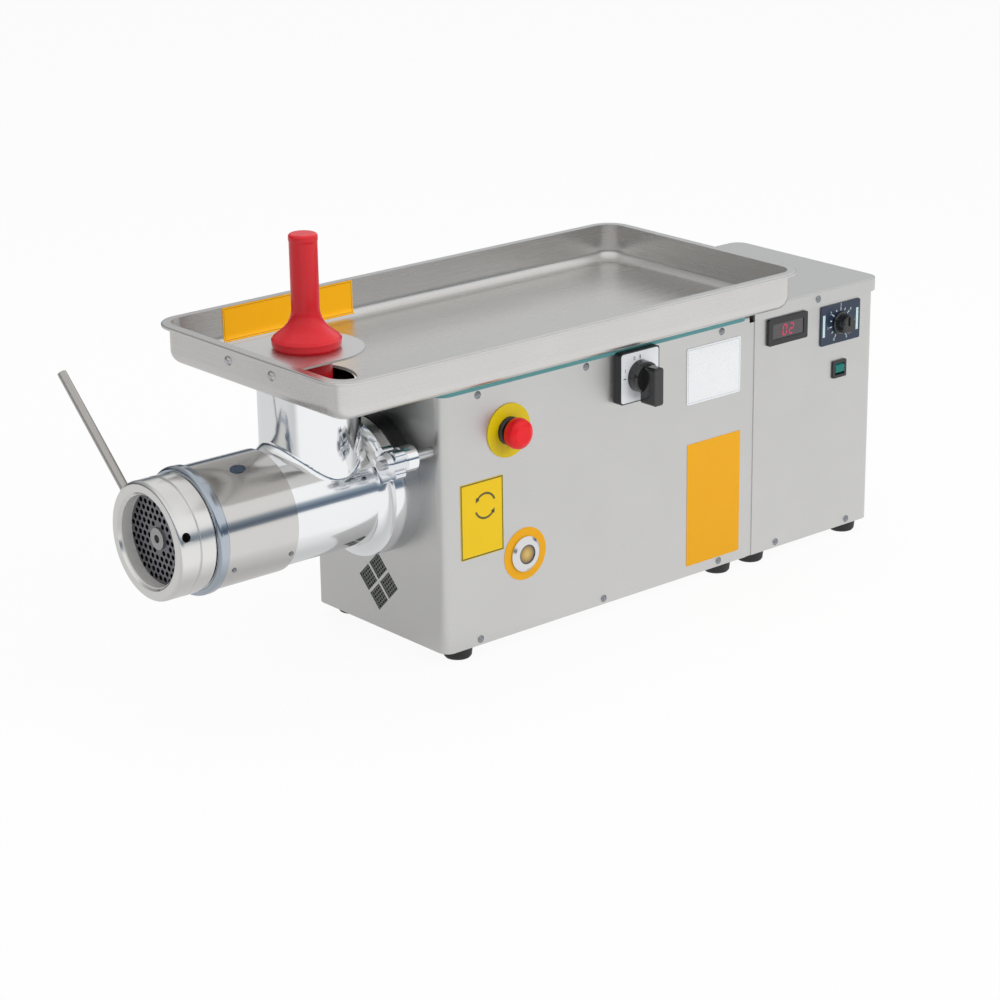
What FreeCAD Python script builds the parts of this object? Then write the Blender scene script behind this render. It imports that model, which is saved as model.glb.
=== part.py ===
import FreeCAD, Part
import math
import os
from FreeCAD import Placement, Rotation, Vector

# Bench mincer with a cooled size 32 head. It is modelled with x = 0 at the front sheet's outer face,
# y = 0 on the head's axis and z = 0 on the table. The rear is at +x, and the control side at -y.
# Every piece is moved to the part's origin, the middle of its base, when it is saved.
# All sizes are in millimetres.

# Casings
FOOT_HEIGHT = 13.0
BODY_WIDTH = 207.0
BODY_HEIGHT = 263.0
FRONT_LENGTH = 411.0
REAR_LENGTH = 183.0
SEAM = 8.0
SEAM_DROP = 0.7
SHEET = 1.5
CORNER = 11.0
TOP_EDGE = 2.0
PAN_SHEET = 2.0
PAN_FLANGE = 16.0
LIP_DEPTH = 10.0
LIP_DROP = 7.0
LID_RISE = 9.0
LID_SKIRT = 14.0
LID_OVERHANG = 4.0
FOOT_RADIUS = 15.0
FOOT_INSET = 19.0
FRONT_FOOT_ENDS = (30.0, 25.0)
REAR_FOOT_ENDS = (17.0, 23.0)

# Tray, guard and pusher
SEAL_HEIGHT = 4.0
RAIL_HEIGHT = 6.0
TRAY_FRONT = 152.0
TRAY_REAR = 452.0
TRAY_NEAR = 146.0
TRAY_FAR = 152.0
TRAY_DEPTH = 40.5
TRAY_CORNER = 29.0
TRAY_BEND = 13.0
HEM_WIDTH = 8.0
HEM_HEIGHT = 4.0
GUARD_RISE = 28.0
GUARD_SHEET = 2.0
GUARD_RADIUS = 54.5
GUARD_BOLT_SPACING = 68.0
PLUNGER_RADIUS = 23.5
PLUNGER_CLEARANCE = 1.5
PUSHER_FLANGE = 33.5
PUSHER_HANDLE = 14.0
PUSHER_HEIGHT = 110.0

# Head
AXIS_HEIGHT = 169.0
PLATE_RADIUS = 49.5
PLATE_THICKNESS = 10.0
PLATE_HOLE = 2.5
PLATE_PITCH = 7.4
PLATE_SHOULDER = 2.0
AUGER_CLEARANCE = 0.5
AUGER_PITCH = 52.0
HEAD_LENGTH = 268.0
NUT_LIP = 14.0
NUT_LENGTH = 40.0
NUT_RADIUS = 57.3
MOUTH_RADIUS = 44.0
THREAD_RADIUS = 54.0
RING_RADIUS = 62.0
RING_WIDTH = 11.5
SLEEVE_LENGTH = 78.0
SLEEVE_WALL = 3.0
BARREL_RADIUS = 57.0
NECK_OFFSET = 77.0
NECK_RADIUS = 49.0
NECK_BORE = 44.0
NECK_FILLET = 9.0
FLANGE_RADIUS = 70.5
FLANGE_WIDTH = 12.0
FLARE_RADIUS = 11.0
COLLAR_WIDTH = 18.0
COLLAR_RADIUS = 71.5
SPIGOT_RADIUS = 55.0
BAR_RADIUS = 4.5
BAR_LENGTH = 144.0
BAR_ANGLE = 43.0
BAR_SETBACK = 8.0
STUD_SPREAD = 87.5
STUD_RISE = 48.5
STUD_RADIUS = 5.0

# Drive
MODULE = 2.0
SMALL_TEETH = 16
BIG_TEETH = 44
BACKLASH = 0.2
PRESSURE_ANGLE = math.radians(20.0)
MOTOR_OFFSET = -22.0
MOTOR_RISE = 85.0
MOTOR_RADIUS = 74.0
MOTOR_LENGTH = 203.0
GEARBOX_WALL = 9.0
GEARBOX_LENGTH = 124.0
GEARBOX_SIDE_GAP = 7.0
FRONT_WALL = 12.0
FIT = 0.05
LOOSE = 0.3

# Controls, measured from the front sheet and down from the top of the casing
ESTOP = (82.6, 51.0)
SWITCH = (247.4, 27.5)
SWITCH_SIDE = 53.0
SWITCH_DEPTH = 9.5
KNOB_DEPTH = 28.0
RATING_PLATE = (321.5, 398.0, 17.5, 77.0)
NOTICE_LABEL = (323.0, 399.5, 119.5, 252.0)
SIGHT_GLASS = (102.3, 182.3)
SIGHT_LABEL = 27.0
SIGHT_BEZEL = 18.0
THERMOSTAT_KNOB = 12.0
VENT_HEIGHT = 62.0
VENT_CELL = 20.0
VENT_BAR = 3.0
GLAND = (60.0, 50.0)

# Controls on the rear casing, measured from its start and down from the top of the casing
DISPLAY_AREA = (18.0, 76.0, 8.5, 37.0)
THERMOSTAT_AREA = (98.0, 158.0, 10.0, 53.0)
ROCKER_AREA = (118.0, 138.5, 73.0, 92.0)

# Places worked out from the sizes above
HALF = BODY_WIDTH / 2
INNER = HALF - SHEET
FLOOR = FOOT_HEIGHT
DECK = FLOOR + PAN_SHEET
TOP = FLOOR + BODY_HEIGHT
REAR_START = FRONT_LENGTH + SEAM
REAR_END = REAR_START + REAR_LENGTH
LID_TOP = TOP + LID_RISE
TRAY_BOTTOM = TOP + SEAL_HEIGHT + RAIL_HEIGHT
TRAY_FLOOR = TRAY_BOTTOM + SHEET
TRAY_TOP = TRAY_BOTTOM + TRAY_DEPTH
WALL_FRONT = HEM_WIDTH - TRAY_FRONT
GUARD_TOP = TRAY_FLOOR + GUARD_RISE + GUARD_SHEET
PUSHER_TOP = GUARD_TOP + PUSHER_HEIGHT
AXIS = (0.0, AXIS_HEIGHT)
NECK = (-NECK_OFFSET, 0.0)
BORE_RADIUS = PLATE_RADIUS - PLATE_SHOULDER
AUGER_RADIUS = BORE_RADIUS - AUGER_CLEARANCE
NUT_FRONT = -HEAD_LENGTH
PLATE_FRONT = NUT_FRONT + NUT_LIP
PLATE_BACK = PLATE_FRONT + PLATE_THICKNESS
THREAD_FRONT = PLATE_FRONT + 4.0
RING_FRONT = NUT_FRONT + NUT_LENGTH + 0.5
SLEEVE_FRONT = RING_FRONT + RING_WIDTH
SLEEVE_BACK = SLEEVE_FRONT + SLEEVE_LENGTH
FLANGE_BACK = -COLLAR_WIDTH
FLANGE_FRONT = FLANGE_BACK - FLANGE_WIDTH
KNIFE_SPAN = (PLATE_BACK + 0.2, PLATE_BACK + 13.0)
SHAFT_FRONT = -35.0
SOCKET_DEPTH = 14.0
SOCKET_SIDE = 24.0
PIN_RADIUS = 10.5
MOTOR = (MOTOR_OFFSET, DECK + MOTOR_RISE)
GEAR_CENTRES = MODULE * (SMALL_TEETH + BIG_TEETH) / 2
GEARBOX_START = 2.0
GEARBOX_END = GEARBOX_START + GEARBOX_LENGTH
COVER_END = GEARBOX_END + FRONT_WALL
WHEEL_SPAN = (30.0, 54.0)
FIRST_SPAN = (84.0, 102.0)
MOTOR_END = COVER_END + MOTOR_LENGTH
STATOR_SPAN = (COVER_END + 32.0, COVER_END + 152.0)
QUARTER = math.tan(math.pi / 8)
TO_X = Rotation(Vector(1, 1, 1), 120)
DIRECTIONS = {"x": Vector(1, 0, 0), "y": Vector(0, 1, 0), "z": Vector(0, 0, 1)}


def place(axis, along, centre):
    """The point at a distance along an axis line, whose other two coordinates are centre."""
    if axis == "x":
        return Vector(along, centre[0], centre[1])
    if axis == "y":
        return Vector(centre[0], along, centre[1])
    return Vector(centre[0], centre[1], along)


def box(x, y, z):
    """A box between three pairs of coordinates."""
    return Part.makeBox(x[1] - x[0], y[1] - y[0], z[1] - z[0], Vector(x[0], y[0], z[0]))


def rod(axis, span, radius, centre):
    """A cylinder along an axis."""
    return Part.makeCylinder(radius, span[1] - span[0], place(axis, span[0], centre), DIRECTIONS[axis])


def ring(axis, span, outer, inner, centre):
    """A tube along an axis."""
    return rod(axis, span, outer, centre).cut(rod(axis, span, inner, centre))


def outline(points):
    """A face in the XY plane. A third number is the bulge of the edge that follows the point."""
    edges = []
    for here, after in zip(points, points[1:] + points[:1]):
        start = Vector(here[0], here[1], 0)
        end = Vector(after[0], after[1], 0)
        if len(here) == 3:
            chord = end - start
            middle = (start + end) * 0.5 + Vector(chord.y, -chord.x, 0) * (here[2] / 2)
            edges.append(Part.Arc(start, middle, end).toShape())
        else:
            edges.append(Part.LineSegment(start, end).toShape())
    return Part.Face(Part.Wire(edges))


def prism(axis, points, span):
    """A straight prism, whose outline is drawn in the two other coordinates."""
    solid = outline(points).extrude(Vector(0, 0, span[1] - span[0]))
    placements = {
        "x": Placement(Vector(span[0], 0, 0), TO_X),
        "y": Placement(Vector(0, span[1], 0), Rotation(Vector(1, 0, 0), 90)),
        "z": Placement(Vector(0, 0, span[0]), Rotation()),
    }
    solid.Placement = placements[axis]
    return solid


def turned(axis, points, centre):
    """A solid of revolution. Its outline is drawn as (distance along the axis, radius)."""
    solid = outline(points).revolve(Vector(0, 0, 0), Vector(1, 0, 0), 360)
    turns = {
        "x": Rotation(),
        "y": Rotation(Vector(0, 0, 1), 90),
        "z": Rotation(Vector(0, 1, 0), -90),
    }
    solid.Placement = Placement(place(axis, 0, centre), turns[axis])
    return solid


def rectangle(u, v, corner=0.0):
    """The outline of a rectangle, with rounded corners where corner is set."""
    if corner == 0:
        return [(u[0], v[0]), (u[1], v[0]), (u[1], v[1]), (u[0], v[1])]
    return [
        (u[0] + corner, v[0]), (u[1] - corner, v[0], QUARTER),
        (u[1], v[0] + corner), (u[1], v[1] - corner, QUARTER),
        (u[1] - corner, v[1]), (u[0] + corner, v[1], QUARTER),
        (u[0], v[1] - corner), (u[0], v[0] + corner, QUARTER),
    ]


def lies_at(edge, axis, value):
    """True where the whole edge is at one value of a coordinate, named X, Y or Z."""
    low = getattr(edge.BoundBox, axis + "Min")
    high = getattr(edge.BoundBox, axis + "Max")
    return abs(low - value) < 0.05 and abs(high - value) < 0.05


def softened(solid, radius, axis, values):
    """The solid with its edges at the given values of a coordinate rounded."""
    edges = [edge for edge in solid.Edges if any(lies_at(edge, axis, value) for value in values)]
    return solid.makeFillet(radius, edges)


def fused(shapes):
    """One solid from several that touch or overlap."""
    return shapes[0].multiFuse(shapes[1:]).removeSplitter()


def without(shape, tools):
    """The shape with each tool cut away."""
    return shape.cut(Part.makeCompound(tools))


def polar(radius, degrees, centre):
    """The point of the YZ plane at a radius and an angle from +Y towards +Z."""
    angle = math.radians(degrees)
    return (centre[0] + radius * math.cos(angle), centre[1] + radius * math.sin(angle))


def radial_rod(x, inner, outer, radius, degrees):
    """A rod that points away from the head's axis at an angle."""
    start = Vector(x, *polar(inner, degrees, AXIS))
    outward = Vector(0, math.cos(math.radians(degrees)), math.sin(math.radians(degrees)))
    return Part.makeCylinder(radius, outer - inner, start, outward)


def hexagon(across, centre):
    """The outline of a hexagon of the given width across its flats."""
    radius = across / math.sqrt(3)
    return [polar(radius, 60 * side, centre) for side in range(6)]


def gear(teeth, span, bore, first_tooth, centre):
    """A spur gear along X with involute teeth. Its first tooth points at the angle first_tooth."""
    pitch_radius = MODULE * teeth / 2
    base_radius = pitch_radius * math.cos(PRESSURE_ANGLE)
    root_radius = pitch_radius - 1.25 * MODULE
    start_radius = max(base_radius, root_radius)
    tip_radius = pitch_radius + MODULE

    def involute(radius):
        pressure = math.acos(min(1.0, base_radius / radius))
        return math.tan(pressure) - pressure

    half_pitch = math.pi / (2 * teeth) - BACKLASH / (4 * pitch_radius) + involute(pitch_radius)
    steps = 5
    radii = [start_radius + (tip_radius - start_radius) * step / steps for step in range(steps + 1)]
    flank = [(radius, half_pitch - involute(radius)) for radius in radii]
    if root_radius < base_radius:
        flank.insert(0, (root_radius, half_pitch))
    points = []
    for tooth in range(teeth):
        middle = math.radians(first_tooth) + 2 * math.pi * tooth / teeth
        side = [(radius, middle - half) for radius, half in flank]
        side += [(radius, middle + half) for radius, half in reversed(flank)]
        points += [polar(radius, math.degrees(angle), centre) for radius, angle in side]
    solid = prism("x", points, span)
    if bore == 0:
        return solid
    return solid.cut(rod("x", span, bore, centre))


def direction(start, end):
    """The angle from one point of the YZ plane to another, in degrees."""
    return math.degrees(math.atan2(end[1] - start[1], end[0] - start[0]))


def layshaft_centre():
    """The point one gear pair's centre distance from both the output shaft and the motor shaft."""
    middle = ((AXIS[0] + MOTOR[0]) / 2, (AXIS[1] + MOTOR[1]) / 2)
    base = math.dist(AXIS, MOTOR)
    height = math.sqrt(GEAR_CENTRES ** 2 - (base / 2) ** 2)
    across = ((MOTOR[0] - AXIS[0]) / base, (MOTOR[1] - AXIS[1]) / base)
    return (middle[0] - across[1] * height, middle[1] + across[0] * height)


LAYSHAFT = layshaft_centre()


# Casings

def screw_places():
    """Each casing screw's x, z, the y of the face under its head and its shank's length."""
    skin = HALF
    lid = HALF + LID_OVERHANG
    places = [(x, TOP - 8.0, skin, 4.0) for x in (45.0, 184.0, 371.0)]
    places += [(x, FLOOR + 6.0, skin, 4.0) for x in (44.0, 207.0, 370.0)]
    places += [(REAR_START + share * REAR_LENGTH, FLOOR + 6.0, skin, 4.0) for share in (0.2, 0.8)]
    places.append((REAR_START + 90.0, TOP + 1.5, lid, LID_OVERHANG + 3.0))
    return places


def screw_shanks(radius):
    """The shanks of the casing screws on both sides."""
    shanks = []
    for x, z, face, length in screw_places():
        shanks.append(rod("y", (-face, length - face), radius, (x, z)))
        shanks.append(rod("y", (face - length, face), radius, (x, z)))
    return shanks


def sleeve_screws(radius, depth, rise):
    """The two radial screws that hold the barrel's sleeve, as plain rods."""
    outer = BARREL_RADIUS + SLEEVE_WALL
    return [radial_rod(x, outer - depth, outer + rise, radius, 208) for x in (SLEEVE_FRONT + 8, SLEEVE_BACK - 5)]


def casing_screws():
    """Every casing and sleeve screw, each one solid."""
    head_radius = 4.0
    head_height = 2.0
    screws = []
    for x, z, face, length in screw_places():
        shape = [(-head_height, 0), (-head_height, 1.6, -0.15), (0, head_radius), (0, 1.5),
                 (length, 1.5), (length, 0)]
        near = turned("y", [(point[0] - face, *point[1:]) for point in shape], (x, z))
        screws.append(near)
        screws.append(near.mirror(Vector(0, 0, 0), Vector(0, 1, 0)))
    screws += sleeve_screws(2.5, SLEEVE_WALL + 3.0, 0.8)
    return Part.makeCompound(screws)


def hood_block(inset, x_end, z):
    """The front casing's outer or inner form: a block with two rounded upright corners."""
    side = HALF - inset
    corner = CORNER - inset
    points = [
        (inset + corner, -side), (x_end, -side), (x_end, side), (inset + corner, side, QUARTER),
        (inset, side - corner), (inset, corner - side, QUARTER),
    ]
    return prism("z", points, z)


def vent_squares(side, span):
    """The four cells of the diamond vent, as prisms."""
    step = (VENT_CELL + VENT_BAR) / 2 * math.sqrt(2)
    half = side / math.sqrt(2)
    cells = []
    for y, z in ((step, 0), (-step, 0), (0, step), (0, -step)):
        z = z + VENT_HEIGHT
        points = [(y + half, z), (y, z + half), (y - half, z), (y, z - half)]
        cells.append(prism("x", points, span))
    return cells


def front_shell():
    outer = hood_block(0, FRONT_LENGTH, (FLOOR, TOP))
    rims = [edge for edge in outer.Edges if lies_at(edge, "Z", TOP) and not lies_at(edge, "X", FRONT_LENGTH)]
    outer = outer.makeFillet(TOP_EDGE, rims)
    shell = outer.cut(hood_block(SHEET, FRONT_LENGTH + 1, (FLOOR - 1, TOP - SHEET)))
    wall = (-1.0, SHEET + 1)
    side = (-HALF - 1, -INNER + 1)
    tools = [rod("x", wall, NOSE_RADIUS + LOOSE, AXIS)]
    tools += [rod("x", wall, STUD_RADIUS + LOOSE, stud) for stud in STUDS]
    tools += [rod("x", wall, LINE_RADIUS + LOOSE, run) for run in LINE_RUNS]
    tools += vent_squares(VENT_CELL, wall)
    tools.append(rod("y", side, ESTOP_BODY + LOOSE, ESTOP_CENTRE))
    tools.append(rod("y", side, SWITCH_SPINDLE + 2, SWITCH_CENTRE))
    tools.append(rod("y", side, SIGHT_BODY + LOOSE, SIGHT_CENTRE))
    tools += screw_shanks(1.5 + FIT)
    return without(shell, tools)


def front_base():
    end = FRONT_LENGTH - LIP_DEPTH - 1
    pan = hood_block(SHEET, end, (FLOOR, FLOOR + PAN_FLANGE))
    hollow = hood_block(SHEET + PAN_SHEET, end - PAN_SHEET, (DECK, FLOOR + PAN_FLANGE + 1))
    return without(pan, [hollow] + foot_studs(STUD_HOLE) + screw_shanks(1.5 + FIT))


def rear_shell():
    top = LID_TOP - SHEET
    block = prism("z", rear_plan(0), (FLOOR, top))
    hollow = prism("z", rear_plan(SHEET), (FLOOR - 1, top + 1))
    lip_x = (FRONT_LENGTH - LIP_DEPTH, REAR_START + SHEET)
    lip_side = (-INNER, INNER)
    lip = box(lip_x, lip_side, (FLOOR, TOP - LIP_DROP))
    lip_hollow = box((lip_x[0] - 1, lip_x[1] + 1), (SHEET - INNER, INNER - SHEET),
                     (FLOOR + SHEET, TOP - LIP_DROP - SHEET))
    wall = (REAR_START - 1, REAR_START + SHEET + 1)
    window = box(wall, (50.0, 82.0), (AXIS_HEIGHT + 5, AXIS_HEIGHT + 48))
    band = box((FRONT_LENGTH, lip_x[1]), (SEAM_DROP - HALF, HALF - SEAM_DROP), (FLOOR, TOP - LIP_DROP))
    shell = fused([block.cut(hollow), lip.cut(lip_hollow), band.cut(lip_hollow)]).cut(window)
    side = (-HALF - 1, -INNER + 1)
    tools = [box((REAR_END - SHEET - 1, REAR_END + 1), (-55.0, 55.0), (z, z + 6.0)) for z in louvre_heights()]
    tools.append(rod("x", (REAR_END - SHEET - 1, REAR_END + 1), GLAND_BODY + LOOSE, GLAND_CENTRE))
    tools.append(prism("y", rectangle(*inside(DISPLAY, 4.0)), side))
    tools.append(rod("y", side, THERMOSTAT_NECK + FIT, THERMOSTAT_CENTRE))
    tools.append(prism("y", rectangle(*inside(ROCKER, 1.5)), side))
    return without(shell, tools + screw_shanks(1.5 + FIT))


def louvre_heights():
    """The lower edge of each slot in the rear wall."""
    return [DECK + 70.0 + 14.0 * row for row in range(9)]


def rear_plan(inset):
    """The rear casing's plan: plain corners at the seam and rounded ones at the back."""
    side = HALF - inset
    corner = CORNER - inset
    start = REAR_START + inset
    end = REAR_END - inset
    return [
        (start, -side), (end - corner, -side, QUARTER), (end, corner - side),
        (end, side - corner, QUARTER), (end - corner, side), (start, side),
    ]


def rear_base():
    pan = prism("z", rear_plan(SHEET), (FLOOR, FLOOR + PAN_FLANGE))
    hollow = prism("z", rear_plan(SHEET + PAN_SHEET), (DECK, FLOOR + PAN_FLANGE + 1))
    return without(pan, [hollow] + foot_studs(STUD_HOLE) + screw_shanks(1.5 + FIT))


def rear_lid():
    reach = LID_OVERHANG
    corner = CORNER + LID_OVERHANG

    def plan(inset):
        side = HALF + reach - inset
        start = REAR_START - reach + inset
        end = REAR_END + reach - inset
        bend = corner - inset
        return [
            (start, -side), (end - bend, -side, QUARTER), (end, bend - side),
            (end, side - bend, QUARTER), (end - bend, side), (start, side),
        ]

    lid = prism("z", plan(0), (LID_TOP - LID_SKIRT, LID_TOP))
    lid = softened(lid, 1.2, "Z", [LID_TOP])
    hollow = prism("z", plan(SHEET), (LID_TOP - LID_SKIRT - 1, LID_TOP - SHEET))
    return without(lid, [hollow] + screw_shanks(1.5 + FIT))


def foot_places():
    """The centre of each foot."""
    ends = (
        FRONT_FOOT_ENDS[0], FRONT_LENGTH - FRONT_FOOT_ENDS[1],
        REAR_START + REAR_FOOT_ENDS[0], REAR_END - REAR_FOOT_ENDS[1],
    )
    return [(x, side * (HALF - FOOT_INSET)) for x in ends for side in (-1, 1)]


def foot_studs(radius):
    """The studs of the feet, as rods through the base pans."""
    return [rod("z", (FLOOR - 1, DECK + 5), radius, centre) for centre in foot_places()]


def feet():
    shape = [(0, 0), (0, FOOT_RADIUS - 2.5), (2, FOOT_RADIUS - 1), (FLOOR - 2, FOOT_RADIUS),
             (FLOOR, FOOT_RADIUS - 1), (FLOOR, FOOT_STUD), (DECK + 4, FOOT_STUD), (DECK + 4, 0)]
    return Part.makeCompound([turned("z", shape, centre) for centre in foot_places()])


def tray_seal():
    edge = TOP_EDGE
    outer = hood_block(edge, FRONT_LENGTH - edge, (TOP, TOP + SEAL_HEIGHT))
    inner = box((11.0, FRONT_LENGTH - 11), (11 - HALF, HALF - 11), (TOP - 1, TOP + SEAL_HEIGHT + 1))
    return outer.cut(inner)


# Tray, guard and pusher

def tray():
    """A deep pan with a flat hem turned outwards around its mouth, and two rails below."""
    def plan(inset):
        x = (inset - TRAY_FRONT, TRAY_REAR - inset)
        y = (inset - TRAY_NEAR, TRAY_FAR - inset)
        return rectangle(x, y, TRAY_CORNER - inset)

    pan = softened(prism("z", plan(HEM_WIDTH), (TRAY_BOTTOM, TRAY_TOP - 1)), TRAY_BEND, "Z", [TRAY_BOTTOM])
    basin = prism("z", plan(HEM_WIDTH + SHEET), (TRAY_FLOOR, TRAY_TOP + 1))
    basin = softened(basin, TRAY_BEND - SHEET, "Z", [TRAY_FLOOR])
    hem = prism("z", plan(0), (TRAY_TOP - HEM_HEIGHT, TRAY_TOP))
    hem = softened(hem, 1.5, "Z", [TRAY_TOP - HEM_HEIGHT, TRAY_TOP])
    rails = []
    for x in (30.0, FRONT_LENGTH - 75.0):
        rail = box((x, x + 40.0), (-INNER, INNER), (TOP + SEAL_HEIGHT, TRAY_BOTTOM + SHEET / 2))
        rails.append(rail.cut(box((x + 2, x + 38.0), (2 - INNER, INNER - 2), (TOP + SEAL_HEIGHT + 2, TRAY_BOTTOM))))
    shell = fused([pan, hem] + rails)
    bolts = [rod("x", (WALL_FRONT - 1, WALL_FRONT + 4), BOLT_RADIUS + FIT, bolt) for bolt in GUARD_BOLTS]
    return without(shell, [basin] + bolts + [rod("z", (TRAY_BOTTOM - 1, TRAY_FLOOR + 1), NECK_BORE + 2.5, NECK)])


def feed_guard():
    start = WALL_FRONT + SHEET
    plate = prism("z", [
        (start, -GUARD_RADIUS), (NECK[0], -GUARD_RADIUS, 1.0), (NECK[0], GUARD_RADIUS), (start, GUARD_RADIUS),
    ], (GUARD_TOP - GUARD_SHEET, GUARD_TOP))
    tab = box((start, start + GUARD_SHEET), (-GUARD_RADIUS, GUARD_RADIUS), (GUARD_TOP - 13, GUARD_TOP))
    hole = rod("z", (GUARD_TOP - 5, GUARD_TOP + 1), PLUNGER_RADIUS + PLUNGER_CLEARANCE, NECK)
    bolts = [rod("x", (start - 1, start + 4), BOLT_RADIUS + FIT, bolt) for bolt in GUARD_BOLTS]
    return without(fused([plate, tab]), [hole] + bolts)


def guard_screws():
    screws = []
    for bolt in GUARD_BOLTS:
        face = WALL_FRONT
        shape = [(face - 2.5, 0), (face - 2.5, 2.0, -0.2), (face, 5.0), (face, BOLT_RADIUS),
                 (face + 8, BOLT_RADIUS), (face + 8, 0)]
        nut = prism("x", hexagon(8.0, bolt), (face + SHEET + GUARD_SHEET, face + 7))
        screws.append(fused([turned("x", shape, bolt), nut]))
    return Part.makeCompound(screws)


def pusher():
    bottom = AXIS_HEIGHT + AUGER_RADIUS + 10
    shape = [
        (bottom, 0), (bottom, PLUNGER_RADIUS - 2, QUARTER * -1), (bottom + 2, PLUNGER_RADIUS),
        (GUARD_TOP, PLUNGER_RADIUS), (GUARD_TOP, PUSHER_FLANGE - 3), (GUARD_TOP + 3, PUSHER_FLANGE - 0.5),
        (GUARD_TOP + 9, PUSHER_FLANGE), (GUARD_TOP + 11.5, PUSHER_FLANGE - 2),
        (GUARD_TOP + 17, PUSHER_FLANGE - 9, 0.25), (GUARD_TOP + 40, PUSHER_HANDLE - 0.5),
        (PUSHER_TOP - 8, PUSHER_HANDLE - 0.5), (PUSHER_TOP - 6, PUSHER_HANDLE),
        (PUSHER_TOP - 3, PUSHER_HANDLE, QUARTER * -1), (PUSHER_TOP, PUSHER_HANDLE - 3), (PUSHER_TOP, 0),
    ]
    return turned("z", shape, NECK)


# Head

def ear(side):
    """The lug of the head's flange that a clamp stud passes through."""
    stud = STUDS[0] if side < 0 else STUDS[1]
    length = math.dist(AXIS, stud)
    bar = box(EAR_SPAN, (SPIGOT_RADIUS, length), (-EAR_RADIUS, EAR_RADIUS))
    bar.Placement = Placement(Vector(0, *AXIS), Rotation(Vector(1, 0, 0), direction(AXIS, stud)))
    return fused([bar, rod("x", EAR_SPAN, EAR_RADIUS, stud)])


def head_casting():
    outside = turned("x", [
        (THREAD_FRONT, 0), (THREAD_FRONT, THREAD_RADIUS), (RING_FRONT, THREAD_RADIUS),
        (RING_FRONT, BARREL_RADIUS),
        (FLANGE_FRONT - FLARE_RADIUS, BARREL_RADIUS, QUARTER), (FLANGE_FRONT, BARREL_RADIUS + FLARE_RADIUS),
        (FLANGE_FRONT, FLANGE_RADIUS), (FLANGE_BACK, FLANGE_RADIUS), (FLANGE_BACK, SPIGOT_RADIUS),
        (0, SPIGOT_RADIUS), (0, 0),
    ], AXIS)
    neck = rod("z", (AXIS_HEIGHT, TRAY_BOTTOM - LOOSE), NECK_RADIUS, NECK)
    barrel = fused([rod("x", (RING_FRONT, FLANGE_BACK), BARREL_RADIUS, AXIS), neck])
    barrel = barrel.makeFillet(NECK_FILLET, neck_roots(barrel))
    body = fused([outside, barrel, ear(-1), ear(1)])
    bore = rod("x", (THREAD_FRONT - 1, BORE_END), BORE_RADIUS, AXIS)
    tools = [
        bore,
        rod("x", (THREAD_FRONT - 1, PLATE_BACK), PLATE_RADIUS + 0.2, AXIS),
        rod("x", (BORE_END - 1, 1), SHAFT_RADIUS + 1, AXIS),
        rod("z", (AXIS_HEIGHT, TRAY_BOTTOM + 1), NECK_BORE, NECK),
        rod("x", KEY_SPAN, KEY_RADIUS + FIT, KEY_CENTRE),
    ]
    tools += [rod("x", (EAR_SPAN[0] - 1, 1), STUD_RADIUS + LOOSE, stud) for stud in STUDS]
    tools += sleeve_screws(2.5 + FIT, SLEEVE_WALL + 3.0 + FIT, 1.0)
    return without(body, tools)


def neck_roots(body):
    """The edges where the neck meets the barrel."""
    top = AXIS_HEIGHT + BARREL_RADIUS + 1
    edges = []
    for edge in body.Edges:
        points = edge.discretize(9)
        distances = [math.hypot(point.x - NECK[0], point.y - NECK[1]) for point in points]
        on_neck = all(abs(distance - NECK_RADIUS) < 0.05 for distance in distances)
        if on_neck and max(point.z for point in points) < top:
            edges.append(edge)
    return edges


def barrel_sleeve():
    sleeve = ring("x", (SLEEVE_FRONT, SLEEVE_BACK), BARREL_RADIUS + SLEEVE_WALL, BARREL_RADIUS + FIT, AXIS)
    return without(sleeve, sleeve_screws(2.5 + FIT, SLEEVE_WALL + 3.0, 1.0))


def barrel_ring():
    seat = BARREL_RADIUS + FIT
    back = RING_FRONT + RING_WIDTH
    return turned("x", [
        (RING_FRONT, seat), (RING_FRONT, RING_RADIUS - 4, -QUARTER), (RING_FRONT + 4, RING_RADIUS),
        (back - 2, RING_RADIUS), (back, RING_RADIUS - 2), (back, seat),
    ], AXIS)


def ring_nut():
    groove = NUT_FRONT + 19.0
    back = NUT_FRONT + NUT_LENGTH
    inside_radius = THREAD_RADIUS + FIT
    nut = turned("x", [
        (NUT_FRONT, MOUTH_RADIUS + 3), (NUT_FRONT, NUT_RADIUS - 4, -QUARTER), (NUT_FRONT + 4, NUT_RADIUS),
        (groove, NUT_RADIUS), (groove + 1, NUT_RADIUS - 1.6), (groove + 3, NUT_RADIUS - 1.6),
        (groove + 4, NUT_RADIUS), (back - 2, NUT_RADIUS), (back, NUT_RADIUS - 1.5), (back, inside_radius),
        (PLATE_FRONT, inside_radius), (PLATE_FRONT, MOUTH_RADIUS), (NUT_FRONT + 3, MOUTH_RADIUS),
    ], AXIS)
    holes = [radial_rod(BAR_PLANE, BAR_HOLE_DEPTH, NUT_RADIUS + 2, BAR_RADIUS + FIT, BAR_ANGLE + turn)
             for turn in (0, 120, 240)]
    return without(nut, holes)


def tommy_bar():
    start = BAR_HOLE_DEPTH + LOOSE
    return radial_rod(BAR_PLANE, start, start + BAR_LENGTH, BAR_RADIUS, BAR_ANGLE)


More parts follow.
